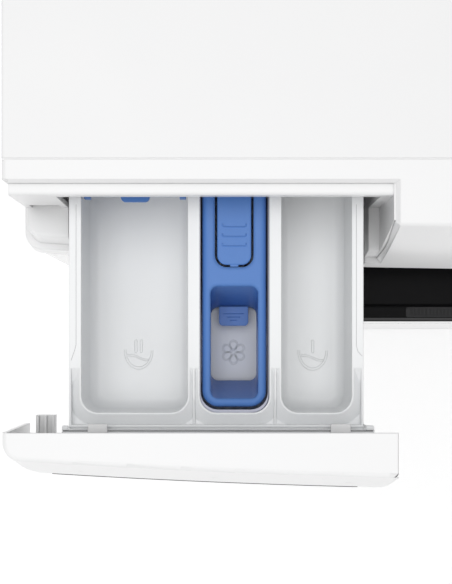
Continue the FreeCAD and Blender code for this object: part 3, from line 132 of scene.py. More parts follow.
def finish(name, light, dark, rough, grain=220.0, bump=0.04, edge=0.5, mottle=14.0, painted_corner_shade=0.0,
           **shader_values):
    """A moulded or painted finish: colour mottled between two tones, uneven gloss, fine grain.

    Its corner shade option is painted shade: the share of its colour that the surface loses in its
    deepest corners, where shade would fall.
    """
    material, tree, shader, make = node_tree(name)
    place = object_place(make)
    cloud = make("ShaderNodeTexNoise", [(place, "Vector")], Scale=mottle, Detail=3.0)
    fine = make("ShaderNodeTexNoise", [(place, "Vector")], Scale=grain, Detail=2.0)
    colour = two_tone(make, cloud.outputs["Fac"], dark, light)
    # painted shade: colour darkened where walls are near, as a corner's shade would make it
    if painted_corner_shade:
        openness = make("ShaderNodeAmbientOcclusion", samples=8)
        openness.inputs["Distance"].default_value = PAINTED_SHADE_REACH
        keep = ranged(make, openness.outputs["AO"], 1 - painted_corner_shade, 1.0, end=0.9)
        colour = make("ShaderNodeVectorMath", [(colour, 0), (keep, 1)],
                      operation="MULTIPLY").outputs[0]
    gloss = ranged(make, fine.outputs["Fac"], rough * 0.85, min(rough * 1.15, 1.0))
    wire(tree, shader, colour, gloss, grained(make, fine.outputs["Fac"], bump, edge))
    for key, value in shader_values.items():
        shader.inputs[key.replace("_", " ")].default_value = value
    return material


def metal(name, light, dark, rough, stretch=(1, 1, 1), grain=300.0, bump=0.1, edge=0.3):
    """Bare metal; stretch turns its grain into brush lines."""
    material, tree, shader, make = node_tree(name)
    place = object_place(make)
    mapping = make("ShaderNodeMapping", [(place, "Vector")])
    mapping.inputs["Scale"].default_value = stretch
    lines = make("ShaderNodeTexNoise", [(mapping.outputs[0], "Vector")], Scale=grain, Detail=4.0)
    patch = make("ShaderNodeTexNoise", [(place, "Vector")], Scale=9.0, Detail=3.0)
    wire(tree, shader, two_tone(make, patch.outputs["Fac"], dark, light),
         ranged(make, lines.outputs["Fac"], rough * 0.75, min(rough * 1.3, 1.0)),
         grained(make, lines.outputs["Fac"], bump, edge))
    shader.inputs["Metallic"].default_value = 1.0
    return material


def galvanised():
    """Zinc coated sheet with its crystal spangle."""
    material, tree, shader, make = node_tree("zinc_steel_look")
    crystals = make("ShaderNodeTexVoronoi", [(object_place(make), "Vector")],
                    Scale=95.0).outputs["Color"]
    wire(tree, shader, two_tone(make, crystals, (0.50, 0.51, 0.52), (0.66, 0.67, 0.68)),
         ranged(make, crystals, 0.32, 0.48), round_edges(make, 0.3))
    shader.inputs["Metallic"].default_value = 0.9
    return material


def door_pane():
    """Near-black pane; inside the window's circle it lets the porthole show through."""
    material, tree, shader, make = node_tree("tinted_glass_look")
    place = object_place(make)
    centred = make("ShaderNodeVectorMath", [(place, 0)], operation="SUBTRACT")
    centred.inputs[1].default_value = (0, 0, AXIS_Z)
    flat = make("ShaderNodeVectorMath", [(centred.outputs[0], 0)], operation="MULTIPLY")
    flat.inputs[1].default_value = (1, 0, 1)
    radius = make("ShaderNodeVectorMath", [(flat.outputs[0], 0)], operation="LENGTH")
    window = ranged(make, radius.outputs["Value"], 0.9, 0.0, WINDOW_R, WINDOW_R + 1.5 * MM)
    smear = make("ShaderNodeTexNoise", [(place, "Vector")], Scale=7.0, Detail=4.0)
    colour = two_tone(make, window, (0.008, 0.008, 0.009), (0.55, 0.57, 0.60))
    tree.links.new(colour, shader.inputs["Base Color"])
    tree.links.new(window, shader.inputs["Transmission Weight"])
    tree.links.new(ranged(make, smear.outputs["Fac"], 0.03, 0.09), shader.inputs["Roughness"])
    shader.inputs["IOR"].default_value = 1.3
    return material


def moulded_glass():
    """The porthole bowl: clear, faintly uneven."""
    material, tree, shader, make = node_tree("clear_glass_look")
    wave = make("ShaderNodeTexNoise", [(object_place(make), "Vector")], Scale=16.0,
                Detail=1.0).outputs["Fac"]
    relief = make("ShaderNodeBump", [(wave, "Height")])
    relief.inputs["Strength"].default_value = 0.05
    tree.links.new(two_tone(make, wave, (0.90, 0.94, 0.93), (0.96, 0.98, 0.97)),
                   shader.inputs["Base Color"])
    tree.links.new(relief.outputs["Normal"], shader.inputs["Normal"])
    shader.inputs["Transmission Weight"].default_value = 1.0
    shader.inputs["Roughness"].default_value = 0.04
    return material


def printed_board():
    """Green laminate with paler tracks."""
    material, tree, shader, make = node_tree("circuit_board_look")
    tracks = make("ShaderNodeTexBrick", [(object_place(make), "Vector")], Scale=130.0,
                  Mortar_Size=0.03)
    tracks.inputs["Color1"].default_value = (0.02, 0.12, 0.04, 1)
    tracks.inputs["Color2"].default_value = (0.025, 0.15, 0.05, 1)
    tracks.inputs["Mortar"].default_value = (0.10, 0.32, 0.12, 1)
    tree.links.new(tracks.outputs["Color"], shader.inputs["Base Color"])
    shader.inputs["Roughness"].default_value = 0.4
    return material


BLUE_LIGHT, BLUE_DARK = (0.090, 0.225, 0.58), (0.082, 0.212, 0.555)
LOOKS = {
    "white_laminate": finish("white_laminate_look", (0.90, 0.90, 0.90), (0.87, 0.87, 0.875), 0.42,
                             grain=900.0, bump=0.05, edge=0.8),
    # painted shade darkens this white in its corners and recesses
    "white_plastic": finish("white_plastic_look", (0.90, 0.90, 0.90), (0.875, 0.875, 0.88), 0.30,
                            grain=500.0, bump=0.03, edge=0.6, painted_corner_shade=0.3),
    "white_enamel": finish("white_enamel_look", (0.89, 0.89, 0.89), (0.86, 0.86, 0.865), 0.24,
                           grain=420.0, bump=0.06, edge=0.6, Coat_Weight=0.3),
    "tray_plastic": finish("tray_plastic_look", (0.89, 0.90, 0.905), (0.87, 0.88, 0.89), 0.36,
                           grain=380.0, bump=0.05, edge=0.7),
    "blue_plastic": finish("blue_plastic_look", BLUE_LIGHT, BLUE_DARK, 0.36, grain=420.0,
                           bump=0.05, edge=0.7, Specular_IOR_Level=0.3),
    "black_plastic": finish("black_plastic_look", (0.006, 0.006, 0.0065),
                            (0.004, 0.004, 0.0045), 0.22, grain=520.0, bump=0.03, edge=0.8,
                            Specular_IOR_Level=0.03),
    "tinted_glass": door_pane(),
    "clear_glass": moulded_glass(),
    "grey_plastic": finish("grey_plastic_look", (0.40, 0.41, 0.42), (0.35, 0.36, 0.37), 0.50,
                           grain=450.0, bump=0.12, edge=0.6),
    "zinc_steel": galvanised(),
    "display_pane": finish("display_pane_look", (0.020, 0.020, 0.022), (0.014, 0.014, 0.016), 0.08,
                           grain=60.0, bump=0.005, edge=0.3, Coat_Weight=0.5),
    "circuit_board": printed_board(),
    "grey_rubber": finish("grey_rubber_look", (0.30, 0.30, 0.31), (0.24, 0.24, 0.25), 0.62,
                          grain=700.0, bump=0.15, edge=0.8),
    "black_rubber": finish("black_rubber_look", (0.035, 0.035, 0.036), (0.022, 0.022, 0.023), 0.66,
                           grain=800.0, bump=0.20, edge=0.5),
    "white_fitting": finish("white_fitting_look", (0.78, 0.78, 0.76), (0.72, 0.72, 0.70), 0.45,
                            grain=500.0, bump=0.08, edge=0.5),
    "cast_block": finish("cast_block_look", (0.36, 0.35, 0.34), (0.24, 0.235, 0.23), 0.85,
                         grain=160.0, bump=0.8, edge=1.2, mottle=60.0),
    "stainless": metal("stainless_look", (0.70, 0.70, 0.71), (0.60, 0.60, 0.61), 0.24,
                       stretch=(1, 12, 1), grain=160.0),
    "aluminium_cast": metal("aluminium_cast_look", (0.62, 0.62, 0.63), (0.52, 0.52, 0.53), 0.46,
                            grain=420.0, bump=0.35),
}
NODE_LOOKS = {  # nodes that look different from the rest of their material slot
    "softener_insert": finish("insert_blue_look", BLUE_LIGHT, BLUE_DARK, 0.36, grain=420.0,
                              bump=0.05, edge=3.0, Specular_IOR_Level=0.3),
    # the housing's white is dimmed as painted shade of the recess it sits in
    "dispenser_housing": finish("housing_shaded_white_look", (0.70, 0.70, 0.71), (0.66, 0.66, 0.67), 0.42,
                                grain=380.0, bump=0.06, edge=0.7),
}
LILAC_WHITE = finish("lilac_white_look", (0.50, 0.51, 0.60), (0.47, 0.48, 0.57), 0.40, grain=380.0)
# grey for painted shade in the rims' moulded grooves
GROOVE_SHADE_GREY = finish("groove_shade_grey_look", (0.58, 0.58, 0.59), (0.54, 0.54, 0.55), 0.55, bump=0.02)
# black of the door's grip strip, also used as painted shadow in the fascia's groove
BLACK_GRIP_AND_SHADOW = finish("black_grip_and_shadow_look", (0.020, 0.020, 0.021), (0.016, 0.016, 0.017), 0.45,
                    grain=700.0, bump=0.15, Specular_IOR_Level=0.2)
PRINT_GREY = finish("print_grey_look", (0.20, 0.20, 0.21), (0.17, 0.17, 0.18), 0.45, bump=0.02)
LIT_SEGMENT = finish("lit_segment_look", (0.75, 0.80, 0.85), (0.70, 0.75, 0.80), 0.30,
                     Emission_Color=(0.75, 0.85, 1.0, 1), Emission_Strength=0.8)
HOLE_DARK = finish("hole_dark_look", (0.03, 0.03, 0.032), (0.02, 0.02, 0.022), 0.60)


def dress_frame():
    """Every CAD node takes the look of its record's material slot."""
    for part in frame["record"]["subparts"]:
        materials = NODES[part["node"]].data.materials
        materials.clear()
        materials.append(NODE_LOOKS.get(part["node"], LOOKS[part["material_slot"]]))


# ---------------------------------------------------------------- making pieces

def add_mesh(name, points, faces, material, body, smooth=False):
    """A mesh piece on a body, its doubled points joined and its faces turned outwards."""
    mesh = bpy.data.meshes.new(name)
    mesh.from_pydata([tuple(p) for p in points], [], faces)
    mesh.validate()
    work = bmesh.new()
    work.from_mesh(mesh)
    bmesh.ops.remove_doubles(work, verts=work.verts, dist=1e-7)
    bmesh.ops.recalc_face_normals(work, faces=work.faces)
    work.to_mesh(mesh)
    work.free()
    if smooth:
        mesh.shade_smooth()
    piece = bpy.data.objects.new(name, mesh)
    bpy.context.scene.collection.objects.link(piece)
    mesh.materials.append(material)
    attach(piece, body)
    return piece


def add_lines(name, paths, thickness, material, body, closed=()):
    """Fine raised lines: each path is a smooth run of points, swept with a round section."""
    curve = bpy.data.curves.new(name, "CURVE")
    curve.dimensions = "3D"
    curve.bevel_depth = thickness / 2
    curve.bevel_resolution = 2
    curve.use_fill_caps = True
    for index, path in enumerate(paths):
        spline = curve.splines.new("POLY")
        spline.points.add(len(path) - 1)
        for point, place in zip(spline.points, path):
            point.co = (*place, 1)
        spline.use_cyclic_u = index in closed
    curve.materials.append(material)
    piece = bpy.data.objects.new(name, curve)
    bpy.context.scene.collection.objects.link(piece)
    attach(piece, body)
    return piece


def prism(outline, z0, z1, points, faces):
    """Add a closed prism over an outline of (x, y), to points and faces."""
    base = len(points)
    count = len(outline)
    points += [Vector((x, y, z0)) for x, y in outline]
    points += [Vector((x, y, z1)) for x, y in outline]
    faces.append([base + i for i in range(count)])
    faces.append([base + count + i for i in range(count)])
    for i in range(count):
        j = (i + 1) % count
        faces.append([base + i, base + j, base + count + j, base + count + i])


def rounded_outline(x0, x1, y0, y1, radii, steps=6):
    """A rectangle's outline, with a radius for each corner from low x, low y anticlockwise."""
    corners = [(x0, y0, 180), (x1, y0, 270), (x1, y1, 0), (x0, y1, 90)]
    outline = []
    for (x, y, start), radius in zip(corners, radii):
        centre_x = x + (radius if x == x0 else -radius)
        centre_y = y + (radius if y == y0 else -radius)
        for i in range(steps + 1):
            angle = math.radians(start + 90 * i / steps)
            outline.append((centre_x + radius * math.cos(angle),
                            centre_y + radius * math.sin(angle)))
    return outline


def arc(centre, radius, start, end, steps=24):
    """Points (x, y) along a circle, angles in degrees."""
    angles = [math.radians(start + (end - start) * i / steps) for i in range(steps + 1)]
    return [(centre[0] + radius * math.cos(a), centre[1] + radius * math.sin(a)) for a in angles]


# ---------------------------------------------------------------- drawer

def laid(points, z):
    """Points (x, y) laid at a height."""
    return [(x, y, z) for x, y in points]


def bowl_mark(name, x, y, width, bars):
    """A compartment's moulded sign: a bowl holding a wave, under one bar or two."""
    z = TRAY_FLOOR_Z
    depth, reach = width * 0.64, width * 0.39             # of the bowl, and half of the wave
    half_bar, bar_foot, bar_top = 0.65 * MM, 0.9 * MM, 6.2 * MM
    outer = [(x + width / 2 * math.cos(math.radians(a)), y + depth * math.sin(math.radians(a)))
             for a in range(-184, 5, 6)]
    inner = [(x + (px - x) * 0.87, y + (py - y) * 0.88 + 0.1 * MM) for px, py in outer]
    paths = [laid(outer, z), laid(inner, z)]
    for drop in (0.0, 1.0 * MM):
        wave = []
        for i in range(21):
            t = i / 20
            fall = (1.9 + 2.6 * t - 0.55 * math.sin(math.tau * t)) * MM
            wave.append((x - reach + 2 * reach * t, y - fall - drop))
        paths.append(laid(wave, z))
    closed = []
    for offset in bars:
        bar = rounded_outline(x + offset - half_bar, x + offset + half_bar, y - bar_foot,
                              y + bar_top, [0.6 * MM] * 4, 4)
        closed.append(len(paths))
        paths.append(laid(bar, z))
    return add_lines(name, paths, 0.3 * MM, LOOKS["tray_plastic"], "drawer", closed)


def flower_mark():
    """Six petals, each a loop with a smaller loop inside."""
    y = TRAY_HIGH.y - 235.6 * MM
    middle, half_length, half_width = 3.9, 3.0, 2.8       # of a petal, millimetres
    paths = []
    for petal in range(6):
        turn = math.radians(90 + 60 * petal)
        for size in (1.0, 0.7):
            loop = []
            for i in range(24):
                a = math.tau * i / 24
                along = (middle + half_length * math.cos(a) * size) * MM
                taper = 0.78 + 0.22 * math.cos(a)
                across = half_width * size * math.sin(a) * taper * MM
                loop.append((INSERT_X + along * math.cos(turn) - across * math.sin(turn),
                             y + along * math.sin(turn) + across * math.cos(turn)))
            paths.append(laid(loop, TRAY_FLOOR_Z))
    return add_lines("softener_flower_mark", paths, 0.24 * MM, LOOKS["tray_plastic"], "drawer",
                     range(len(paths)))


def level_tab():
    """The blue tab that stands over the softener well's floor, with a plain level mark."""
    x, back = INSERT_X, TRAY_HIGH.y - 210.4 * MM
    under = INSERT_LOW.z + 3 * MM
    top = under + 1.6 * MM
    points, faces = [], []
    outline = rounded_outline(x - 8 * MM, x + 8 * MM, back - 10.6 * MM, back,
                              [2.2 * MM, 2.2 * MM, 0.3 * MM, 0.3 * MM])
    prism(outline, under, top, points, faces)
    add_mesh("softener_level_tab", points, faces, LOOKS["blue_plastic"], "drawer")
    lines = [laid([(x - reach * MM, back - drop * MM), (x + reach * MM, back - drop * MM)], top)
             for reach, drop in ((5.6, 4.0), (3.6, 5.8), (1.8, 7.6))]
    return add_lines("softener_level_mark", lines, 0.5 * MM, LOOKS["blue_plastic"], "drawer")


def well_lip():
    """The pale lip that closes most of the gap between the insert and its compartment."""
    gap, front_gap = 0.9 * MM, 1.5 * MM
    reach, front_reach = 1.3 * MM, 3.0 * MM
    rear = INSERT_LOW.y + 120 * MM
    steps = 6
    outer = rounded_outline(INSERT_LOW.x - reach, INSERT_HIGH.x + reach,
                            INSERT_LOW.y - front_reach, rear,
                            [8.9 * MM, 8.9 * MM, 0.1 * MM, 0.1 * MM], steps)
    inner = rounded_outline(INSERT_LOW.x - gap, INSERT_HIGH.x + gap, INSERT_LOW.y - front_gap,
                            rear, [9.1 * MM, 9.1 * MM, 0.1 * MM, 0.1 * MM], steps)
    top, under = RIM_Z - 2.2 * MM, RIM_Z - 3.6 * MM
    count = len(outer)
    rear_edge = 3 * (steps + 1) - 1                       # the lip is open behind
    points = [Vector((x, y, z)) for z in (top, under) for ring in (outer, inner) for x, y in ring]
    faces = []
    for i in range(count):
        j = (i + 1) % count
        if i == rear_edge:
            continue
        faces.append([i, j, count + j, count + i])
        faces.append([2 * count + i, 2 * count + j, 3 * count + j, 3 * count + i])
        faces.append([i, j, 2 * count + j, 2 * count + i])
        faces.append([count + i, count + j, 3 * count + j, 3 * count + i])
    return add_mesh("softener_well_lip", points, faces, LILAC_WHITE, "drawer")


def tab_ridges():
    """Three finger ridges on the release tab, their ends turned up, and its small front catch."""
    low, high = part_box("release_tab")
    x = (low.x + high.x) / 2
    half, turn_up = 6.2 * MM, 0.9 * MM
    paths = []
    for offset in (9.8, 14.8, 19.9):
        y = low.y + offset * MM
        rise = [(half - turn_up + turn_up * math.sin(math.radians(a)),
                 y + turn_up - turn_up * math.cos(math.radians(a))) for a in range(0, 91, 15)]
        right = rise + [(half, y + 1.6 * MM)]
        left = [(-px, py) for px, py in reversed(right)]
        paths.append([(x + px, py, high.z - 0.1 * MM) for px, py in left + right])
    add_lines("release_tab_ridges", paths, 0.8 * MM, LOOKS["blue_plastic"], "release_tab")
    points, faces = [], []
    prism(rounded_outline(x - 2.2 * MM, x + 2.2 * MM, low.y - 1.0 * MM, low.y + 0.4 * MM,
                          [0.3 * MM] * 4, 3), high.z - 1.4 * MM, high.z - 0.3 * MM, points, faces)
    return add_mesh("release_tab_catch", points, faces, LOOKS["blue_plastic"], "release_tab")


def rim_lines():
    """The fine moulded lines along the tray's outer rims, turning out near the front, drawn in grey
    as painted shade of their grooves.
    """
    left = ((6.7, 120), (6.7, 46.5), (5.9, 43.5), (4.1, 38.4))
    right = ((153.3, 120), (153.3, 46), (154.1, 43), (156.3, 40.7))
    paths = [laid([(TRAY_LOW.x + x * MM, TRAY_LOW.y + y * MM) for x, y in line], RIM_Z)
             for line in (left, right)]
    return add_lines("tray_rim_lines", paths, 0.24 * MM, GROOVE_SHADE_GREY, "drawer")


def front_joint():
    """The dark joint between the tray's front plate and the fascia, and the plate's end hooks."""
    top, back = TRAY_LOW.z + 59 * MM, TRAY_LOW.y + 2.4 * MM
    left, right = TRAY_LOW.x, TRAY_LOW.x + 162 * MM
    joint = [(left + 0.6 * MM, back - 0.5 * MM, top), (right - 0.6 * MM, back - 0.5 * MM, top)]
    add_lines("fascia_joint", [joint], 0.5 * MM, HOLE_DARK, "drawer")
    points, faces = [], []
    for x0, x1 in ((left, left + 3.2 * MM), (right - 4.2 * MM, right)):
        hook = rounded_outline(x0, x1, back - 0.1 * MM, back + 2.3 * MM,
                               [0.1 * MM, 0.1 * MM, 0.8 * MM, 0.8 * MM], 3)
        prism(hook, top - 2.2 * MM, top, points, faces)
    return add_mesh("front_plate_hooks", points, faces, LOOKS["tray_plastic"], "drawer")


def fascia_corner():
    """A thin cap over the right end of the fascia's crease, cut under like the fascia's edge."""
    skin = skin_of("drawer_fascia")
    right, top = FASCIA_HIGH.x, FASCIA_HIGH.z
    sound = right - 6 * MM                                # where the skin is read
    inset = 2.3 * MM                                      # of the point it is read from
    front = skin.ray_cast(Vector((sound, -1, top - 3 * MM)), FORWARD)[0].y
    centre = Vector((sound, front + inset, top - inset))
    profile = []
    for step in range(11):
        a = math.radians(88 + 100 * step / 10)
        out = Vector((0, math.cos(a), math.sin(a)))
        profile.append(skin.ray_cast(centre + out * 30 * MM, -out)[0] + out * 0.02 * MM)
    profile.append(centre)
    drift = 2 * FRONT_BOW / PANEL_HIGH.x ** 2 * 100 * MM  # the bow's slope, 100 mm off centre
    points = []
    for p in profile:
        undercut = min(-0.1 * MM, 0.2 * MM - (top - p.z))
        for x in (right - 4.5 * MM, right + undercut):
            points.append(Vector((x, p.y - (x - sound) * drift, p.z)))
    count = len(profile)
    faces = [[2 * i, 2 * i + 1, 2 * ((i + 1) % count) + 1, 2 * ((i + 1) % count)]
             for i in range(count)]
    faces += [[2 * i for i in range(count)], [2 * i + 1 for i in range(count)]]
    return add_mesh("fascia_corner_cap", points, faces, LOOKS["white_plastic"], "drawer")


def fascia_groove_shadow():
    """The dark bead seated in the fine groove along the fascia's lower edge: painted shadow, the
    groove's shade drawn as a black line.
    """
    skin = skin_of("drawer_fascia")
    z, half_groove = FASCIA_LOW.z + 6.15 * MM, 1.5 * MM
    start, spacing, count = FASCIA_LOW.x + 15.6 * MM, 5 * MM, 35
    path = []
    for step in range(count):
        x = start + spacing * step
        over = skin.ray_cast(Vector((x, -1, z + half_groove)), FORWARD)[0]
        under = skin.ray_cast(Vector((x, -1, z - half_groove)), FORWARD)[0]
        path.append((over + under) / 2 + FORWARD * 0.25 * MM)
    # the black line paints the groove's shadow
    return add_lines("fascia_groove_shadow_line", [path], 1.2 * MM, BLACK_GRIP_AND_SHADOW, "drawer")


def build_drawer():
    front_joint()
    fascia_corner()
    fascia_groove_shadow()
    well_lip()
    tab_ridges()
    rim_lines()
    bowl_mark("main_wash_mark", TRAY_LOW.x + 36.5 * MM, TRAY_HIGH.y - 234.9 * MM, 16.0 * MM,
              (-1.5 * MM, 1.5 * MM))
    bowl_mark("prewash_mark", TRAY_LOW.x + 133.7 * MM, TRAY_HIGH.y - 235.1 * MM, 16.6 * MM,
              (0.0,))
    flower_mark()
    level_tab()


# ---------------------------------------------------------------- cabinet and control panel

def worktop_seal():
    """The white strip that fills the joint between the worktop and the panel moulding."""
    worktop_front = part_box("worktop")[0].y
    half = PANEL_HIGH.x - 0.4 * MM
    outline = rounded_outline(-half, half, worktop_front - 1.2 * MM, worktop_front + 0.2 * MM,
                              [0.1 * MM] * 4, 2)
    points, faces = [], []
    prism(outline, PANEL_HIGH.z - 3 * MM, PANEL_HIGH.z - 0.12 * MM, points, faces)
    return add_mesh("worktop_seal", points, faces, LOOKS["white_plastic"], "cabinet")


def skin_of(node):
    """A CAD node's surface, to lay prints on."""
    return BVHTree.FromObject(NODES[node], bpy.context.evaluated_depsgraph_get())


def panel_frame(middle, reach, reach_across=None):
    """A frame on the panel's face: X to the right, Y up the face, Z out of it."""
    skin = skin_of("control_panel")

    def touch(dx, dz):
        start = Vector((middle.x + dx, -1, middle.z + dz))
        return skin.ray_cast(start, FORWARD)[0]

    aside = reach_across or reach
    left, right, low, high = touch(-aside, 0), touch(aside, 0), touch(0, -reach), touch(0, reach)
    across = (right - left).normalized()
    out = across.cross(high - low).normalized()
    turn = Matrix((across, out.cross(across), out)).transposed().to_4x4()
    return Matrix.Translation((left + right + low + high) / 4) @ turn


def laid_on(skin, place, x, y, lift):
    """The point of a surface straight under (x, y) millimetres of a frame, lifted off it."""
    out = place.to_3x3() @ Vector((0, 0, 1))
    start = place @ Vector((x * MM, y * MM, 40 * MM))
    hit = skin.ray_cast(start, -out)[0]
    return (hit or place @ Vector((x * MM, y * MM, 0))) + out * lift * MM


def flat_print(name, outlines, place, node, material, body):
    """Thin printed shapes that follow a node's surface; outlines are in the frame's mm."""
    skin = skin_of(node)
    points, faces = [], []
    for outline in outlines:
        base, count = len(points), len(outline)
        for lift in (-0.05, 0.08):
            points += [laid_on(skin, place, x, y, lift) for x, y in outline]
        faces.append([base + i for i in range(count)])
        faces.append([base + count + i for i in range(count)])
        for i in range(count):
            j = (i + 1) % count
            faces.append([base + i, base + j, base + count + j, base + count + i])
    return add_mesh(name, points, faces, material, body)


def face_lines(name, paths, place, node, thickness, material, body, closed=()):
    """Fine round lines that follow a node's surface; paths and thickness in millimetres."""
    skin = skin_of(node)
    placed = [[laid_on(skin, place, x, y, 0) for x, y in path] for path in paths]
    return add_lines(name, placed, thickness * MM, material, body, closed)


def dash(radius0, radius1, width, degrees):
    """A short radial mark, as an outline in millimetres."""
    a = math.radians(degrees)
    along = Vector((math.cos(a), math.sin(a)))
    across = Vector((-along.y, along.x)) * width / 2
    corners = [along * radius0 - across, along * radius1 - across, along * radius1 + across,
               along * radius0 + across]
    return [(c.x, c.y) for c in corners]


SEGMENTS = {  # a seven-bar digit's bars: centre x, centre y, upright
    "top": (0, 1, False), "middle": (0, 0, False), "bottom": (0, -1, False),
    "high left": (-1, 0.5, True), "high right": (1, 0.5, True),
    "low left": (-1, -0.5, True), "low right": (1, -0.5, True),
}
DIGITS = {
    "1": ("high right", "low right"),
    "2": ("top", "high right", "middle", "low left", "bottom"),
    "5": ("top", "high left", "middle", "low right", "bottom"),
}


def digit(figure, x, size):
    """Outlines of a seven-bar figure, millimetres."""
    outlines = []
    half = size * 0.24
    for bar in DIGITS[figure]:
        along, up, upright = SEGMENTS[bar]
        cx, cy = x + along * half, up * size / 2
        reach, thick = size * 0.21, size * 0.045
        shape = [(-reach, 0), (-reach + thick, -thick), (reach - thick, -thick), (reach, 0),
                 (reach - thick, thick), (-reach + thick, thick)]
        outlines.append([(cx + (b if upright else a), cy + (a if upright else b))
                         for a, b in shape])
    return outlines


def dots(places, radius):
    """Outlines of round dots, millimetres."""
    return [[(x + px, y + py) for px, py in arc((0, 0), radius, 0, 330, 11)] for x, y in places]


def programme_dial():
    """Marks round the programme knob, a bright collar at its foot and its pointer."""
    low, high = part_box("programme_knob")
    place = panel_frame((low + high) / 2, 33 * MM)
    positions, collar_r, dots_r = 16, 27.0, 36.0
    turn = 360 / positions
    marks = [dash(29.5, 32.5, 0.8, turn * step) for step in range(positions)]
    flat_print("dial_marks", marks, place, "control_panel", PRINT_GREY, "cabinet")
    places = []
    for step in range(positions):
        a = math.radians(turn * step)
        count = 1 + step % 3
        for index in range(count):
            offset = (index - (count - 1) / 2) * 1.8
            places.append((dots_r * math.cos(a) + offset, dots_r * math.sin(a)))
    flat_print("dial_dots", dots(places, 0.6), place, "control_panel", PRINT_GREY, "cabinet")
    ring = [(collar_r * math.cos(math.tau * i / 72), collar_r * math.sin(math.tau * i / 72))
            for i in range(72)]
    face_lines("dial_collar", [ring], place, "control_panel", 0.9, LOOKS["stainless"], "cabinet",
               (0,))
    pointer = [(-0.6, 9), (0.6, 9), (0.6, 17), (-0.6, 17)]
    flat_print("knob_pointer", [pointer], place, "programme_knob", PRINT_GREY, "programme_knob")


def button_symbols():
    """The standby sign on one button, start and pause on the other."""
    low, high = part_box("power_button")
    place = panel_frame((low + high) / 2, 14 * MM)
    circle = arc((0, 0), 3.0, 120, 420, 30)
    face_lines("standby_sign", [circle, [(0, 1.2), (0, 4.0)]], place, "power_button", 0.6,
               PRINT_GREY, "power_button")
    low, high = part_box("start_button")
    place = panel_frame((low + high) / 2, 14 * MM)
    shapes = [[(-3.4, -2.4), (0.2, 0), (-3.4, 2.4)],
              [(1.2, -2.4), (2.1, -2.4), (2.1, 2.4), (1.2, 2.4)],
              [(3.1, -2.4), (4.0, -2.4), (4.0, 2.4), (3.1, 2.4)]]
    flat_print("start_pause_sign", shapes, place, "start_button", PRINT_GREY, "start_button")


def display_figures():
    """A lit time on the display, with a column of small lamps and their bars."""
    low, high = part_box("display_window")
    place = panel_frame((low + high) / 2, 24 * MM, 52 * MM)
    tall = 15
    outlines = digit("1", -26, tall) + digit("2", -11, tall) + digit("5", 1, tall)
    outlines += dots([(-18.5, -2.6), (-18.5, 2.6)], 0.8)
    for index in range(5):
        y = -9 + 4.5 * index
        outlines += dots([(20, y)], 0.9)
        outlines.append([(24, y - 0.5), (36, y - 0.5), (36, y + 0.5), (24, y + 0.5)])
    flat_print("display_figures", outlines, place, "display_window", LIT_SEGMENT, "cabinet")


# ---------------------------------------------------------------- drum and door

def drum_holes():
    """The drum wall's perforations, as shallow round dimples on its inner face."""
    low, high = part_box("drum_shell")
    radius = (high.x - low.x) / 2 - 1.6 * MM
    rows, columns, sides = 13, 72, 8
    first_row, row_pitch = low.y + 60 * MM, 16 * MM
    hole_r, hole_depth = 1.6 * MM, 0.4 * MM
    paddle_pitch, half_paddle = 120, 14                   # degrees; the top paddle is at 90
    points, faces = [], []
    for row in range(rows):
        y = first_row + row_pitch * row
        for column in range(columns):
            angle = math.tau * (column + 0.5 * (row % 2)) / columns
            off_paddle = (math.degrees(angle) - 90 + paddle_pitch / 2) % paddle_pitch
            if abs(off_paddle - paddle_pitch / 2) < half_paddle:
                continue
            centre = Vector((math.cos(angle), 0, math.sin(angle)))
            across = Vector((-math.sin(angle), 0, math.cos(angle)))
            middle = Vector((0, y, AXIS_Z))
            base = len(points)
            for side in range(sides):
                turn = math.tau * side / sides
                spoke = across * math.cos(turn) + FORWARD * math.sin(turn)
                points.append(centre * radius + middle + spoke * hole_r)
            points.append(centre * (radius + hole_depth) + middle)
            faces += [[base + i, base + (i + 1) % sides, base + sides] for i in range(sides)]
    return add_mesh("drum_perforations", points, faces, HOLE_DARK, "drum")


def ring_band(name, radii_and_depths, material, body, steps=128):
    """A smooth body turned about the door's axis, from a closed profile of (radius, y)."""
    points, faces = [], []
    count = len(radii_and_depths)
    for step in range(steps):
        angle = math.tau * step / steps
        for radius, y in radii_and_depths:
            points.append(Vector((radius * math.cos(angle), y, AXIS_Z + radius * math.sin(angle))))
    for step in range(steps):
        following = (step + 1) % steps
        for i in range(count):
            j = (i + 1) % count
            faces.append([step * count + i, step * count + j, following * count + j,
                          following * count + i])
    return add_mesh(name, points, faces, material, body, smooth=True)


def window_ring():
    """A slim ring let into the pane round the window, just proud of it."""
    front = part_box("door_cover")[0].y - 0.02 * MM
    rear = front + 0.8 * MM
    inner, outer = WINDOW_R + 1 * MM, WINDOW_R + 4 * MM
    profile = [(inner, front), (outer, front), (outer, rear), (inner, rear)]
    return ring_band("door_window_ring", profile, LOOKS["stainless"], "door")


def door_grip():
    """The satin finger strip on the door's top edge, with fine cross ribs."""
    half, top = 76.7 * MM, DOOR_HIGH.z
    front, rear = DOOR_LOW.y + 0.2 * MM, DOOR_LOW.y + 6.4 * MM
    rib, rib_pitch, margin, side_margin = 0.7 * MM, 2.2 * MM, 3 * MM, 1.2 * MM
    points, faces = [], []
    prism(rounded_outline(-half, half, front, rear, [1.2 * MM] * 4), top - 0.4 * MM,
          top + 0.12 * MM, points, faces)
    x = -half + margin
    while x < half - margin:
        prism([(x, front + side_margin), (x + rib, front + side_margin),
               (x + rib, rear - side_margin), (x, rear - side_margin)],
              top + 0.05 * MM, top + 0.3 * MM, points, faces)
        x += rib_pitch
    return add_mesh("door_grip_strip", points, faces, BLACK_GRIP_AND_SHADOW, "door")


# ---------------------------------------------------------------- floor, light, camera

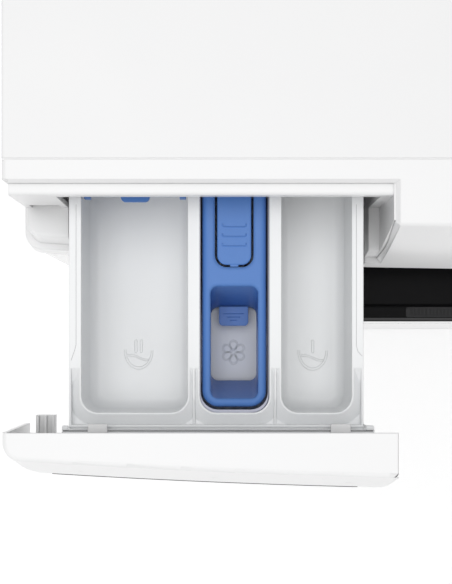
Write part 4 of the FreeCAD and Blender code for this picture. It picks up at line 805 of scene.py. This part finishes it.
def floor():
    """A plain pale floor, 12 m across, that glows faintly so that it stays pale at its far edge."""
    extent = 6.0
    mesh = bpy.data.meshes.new("floor")
    mesh.from_pydata([(-extent, -extent, 0), (extent, -extent, 0), (extent, extent, 0),
                      (-extent, extent, 0)], [], [[0, 1, 2, 3]])
    ground = bpy.data.objects.new("floor", mesh)
    bpy.context.scene.collection.objects.link(ground)
    mesh.materials.append(finish("floor_look", (0.92, 0.92, 0.92), (0.90, 0.90, 0.90), 0.8,
                                 grain=60.0, bump=0.01, mottle=1.5,
                                 Emission_Color=(1, 1, 1, 1), Emission_Strength=0.31))


def area_light(name, place, target, size, power):
    """A round soft light, in metres and watts."""
    lamp = bpy.data.lights.new(name, "AREA")
    lamp.shape = "DISK"
    lamp.size = size
    lamp.energy = power
    holder = bpy.data.objects.new(name, lamp)
    holder.location = place
    holder.rotation_euler = (Vector(target) - Vector(place)).to_track_quat("-Z", "Y").to_euler()
    bpy.context.scene.collection.objects.link(holder)


def lights():
    """An even white studio, with a key light from the front left and one overhead."""
    world = bpy.data.worlds.new("studio")
    world.use_nodes = True
    background = world.node_tree.nodes["Background"]
    background.inputs["Color"].default_value = (1, 1, 1, 1)
    background.inputs["Strength"].default_value = 0.52
    bpy.context.scene.world = world
    area_light("key", (-1.4, -2.4, 2.8), (0, -0.1, 0.7), 2.4, 20)
    area_light("top", (-0.35, -0.15, 3.5), (-0.19, -0.25, 0.8), 2.2, 30)
    bpy.context.scene.view_settings.view_transform = "Standard"


def camera():
    """Straight down on the drawer, from above the machine's front left corner."""
    frame_height, focal_length = 584, 1400                # in pixels of the picture
    eye = bpy.data.cameras.new("camera")
    eye.sensor_width = 36.0
    eye.lens = eye.sensor_width * focal_length / frame_height
    eye.shift_x = 5 / frame_height
    eye.shift_y = 52 / frame_height
    holder = bpy.data.objects.new("camera", eye)
    holder.location = (-0.189, -0.251, 1.55)
    bpy.context.scene.collection.objects.link(holder)
    bpy.context.scene.camera = holder


dress_frame()
build_drawer()
worktop_seal()
programme_dial()
button_symbols()
display_figures()
drum_holes()
window_ring()
door_grip()
floor()
lights()
camera()
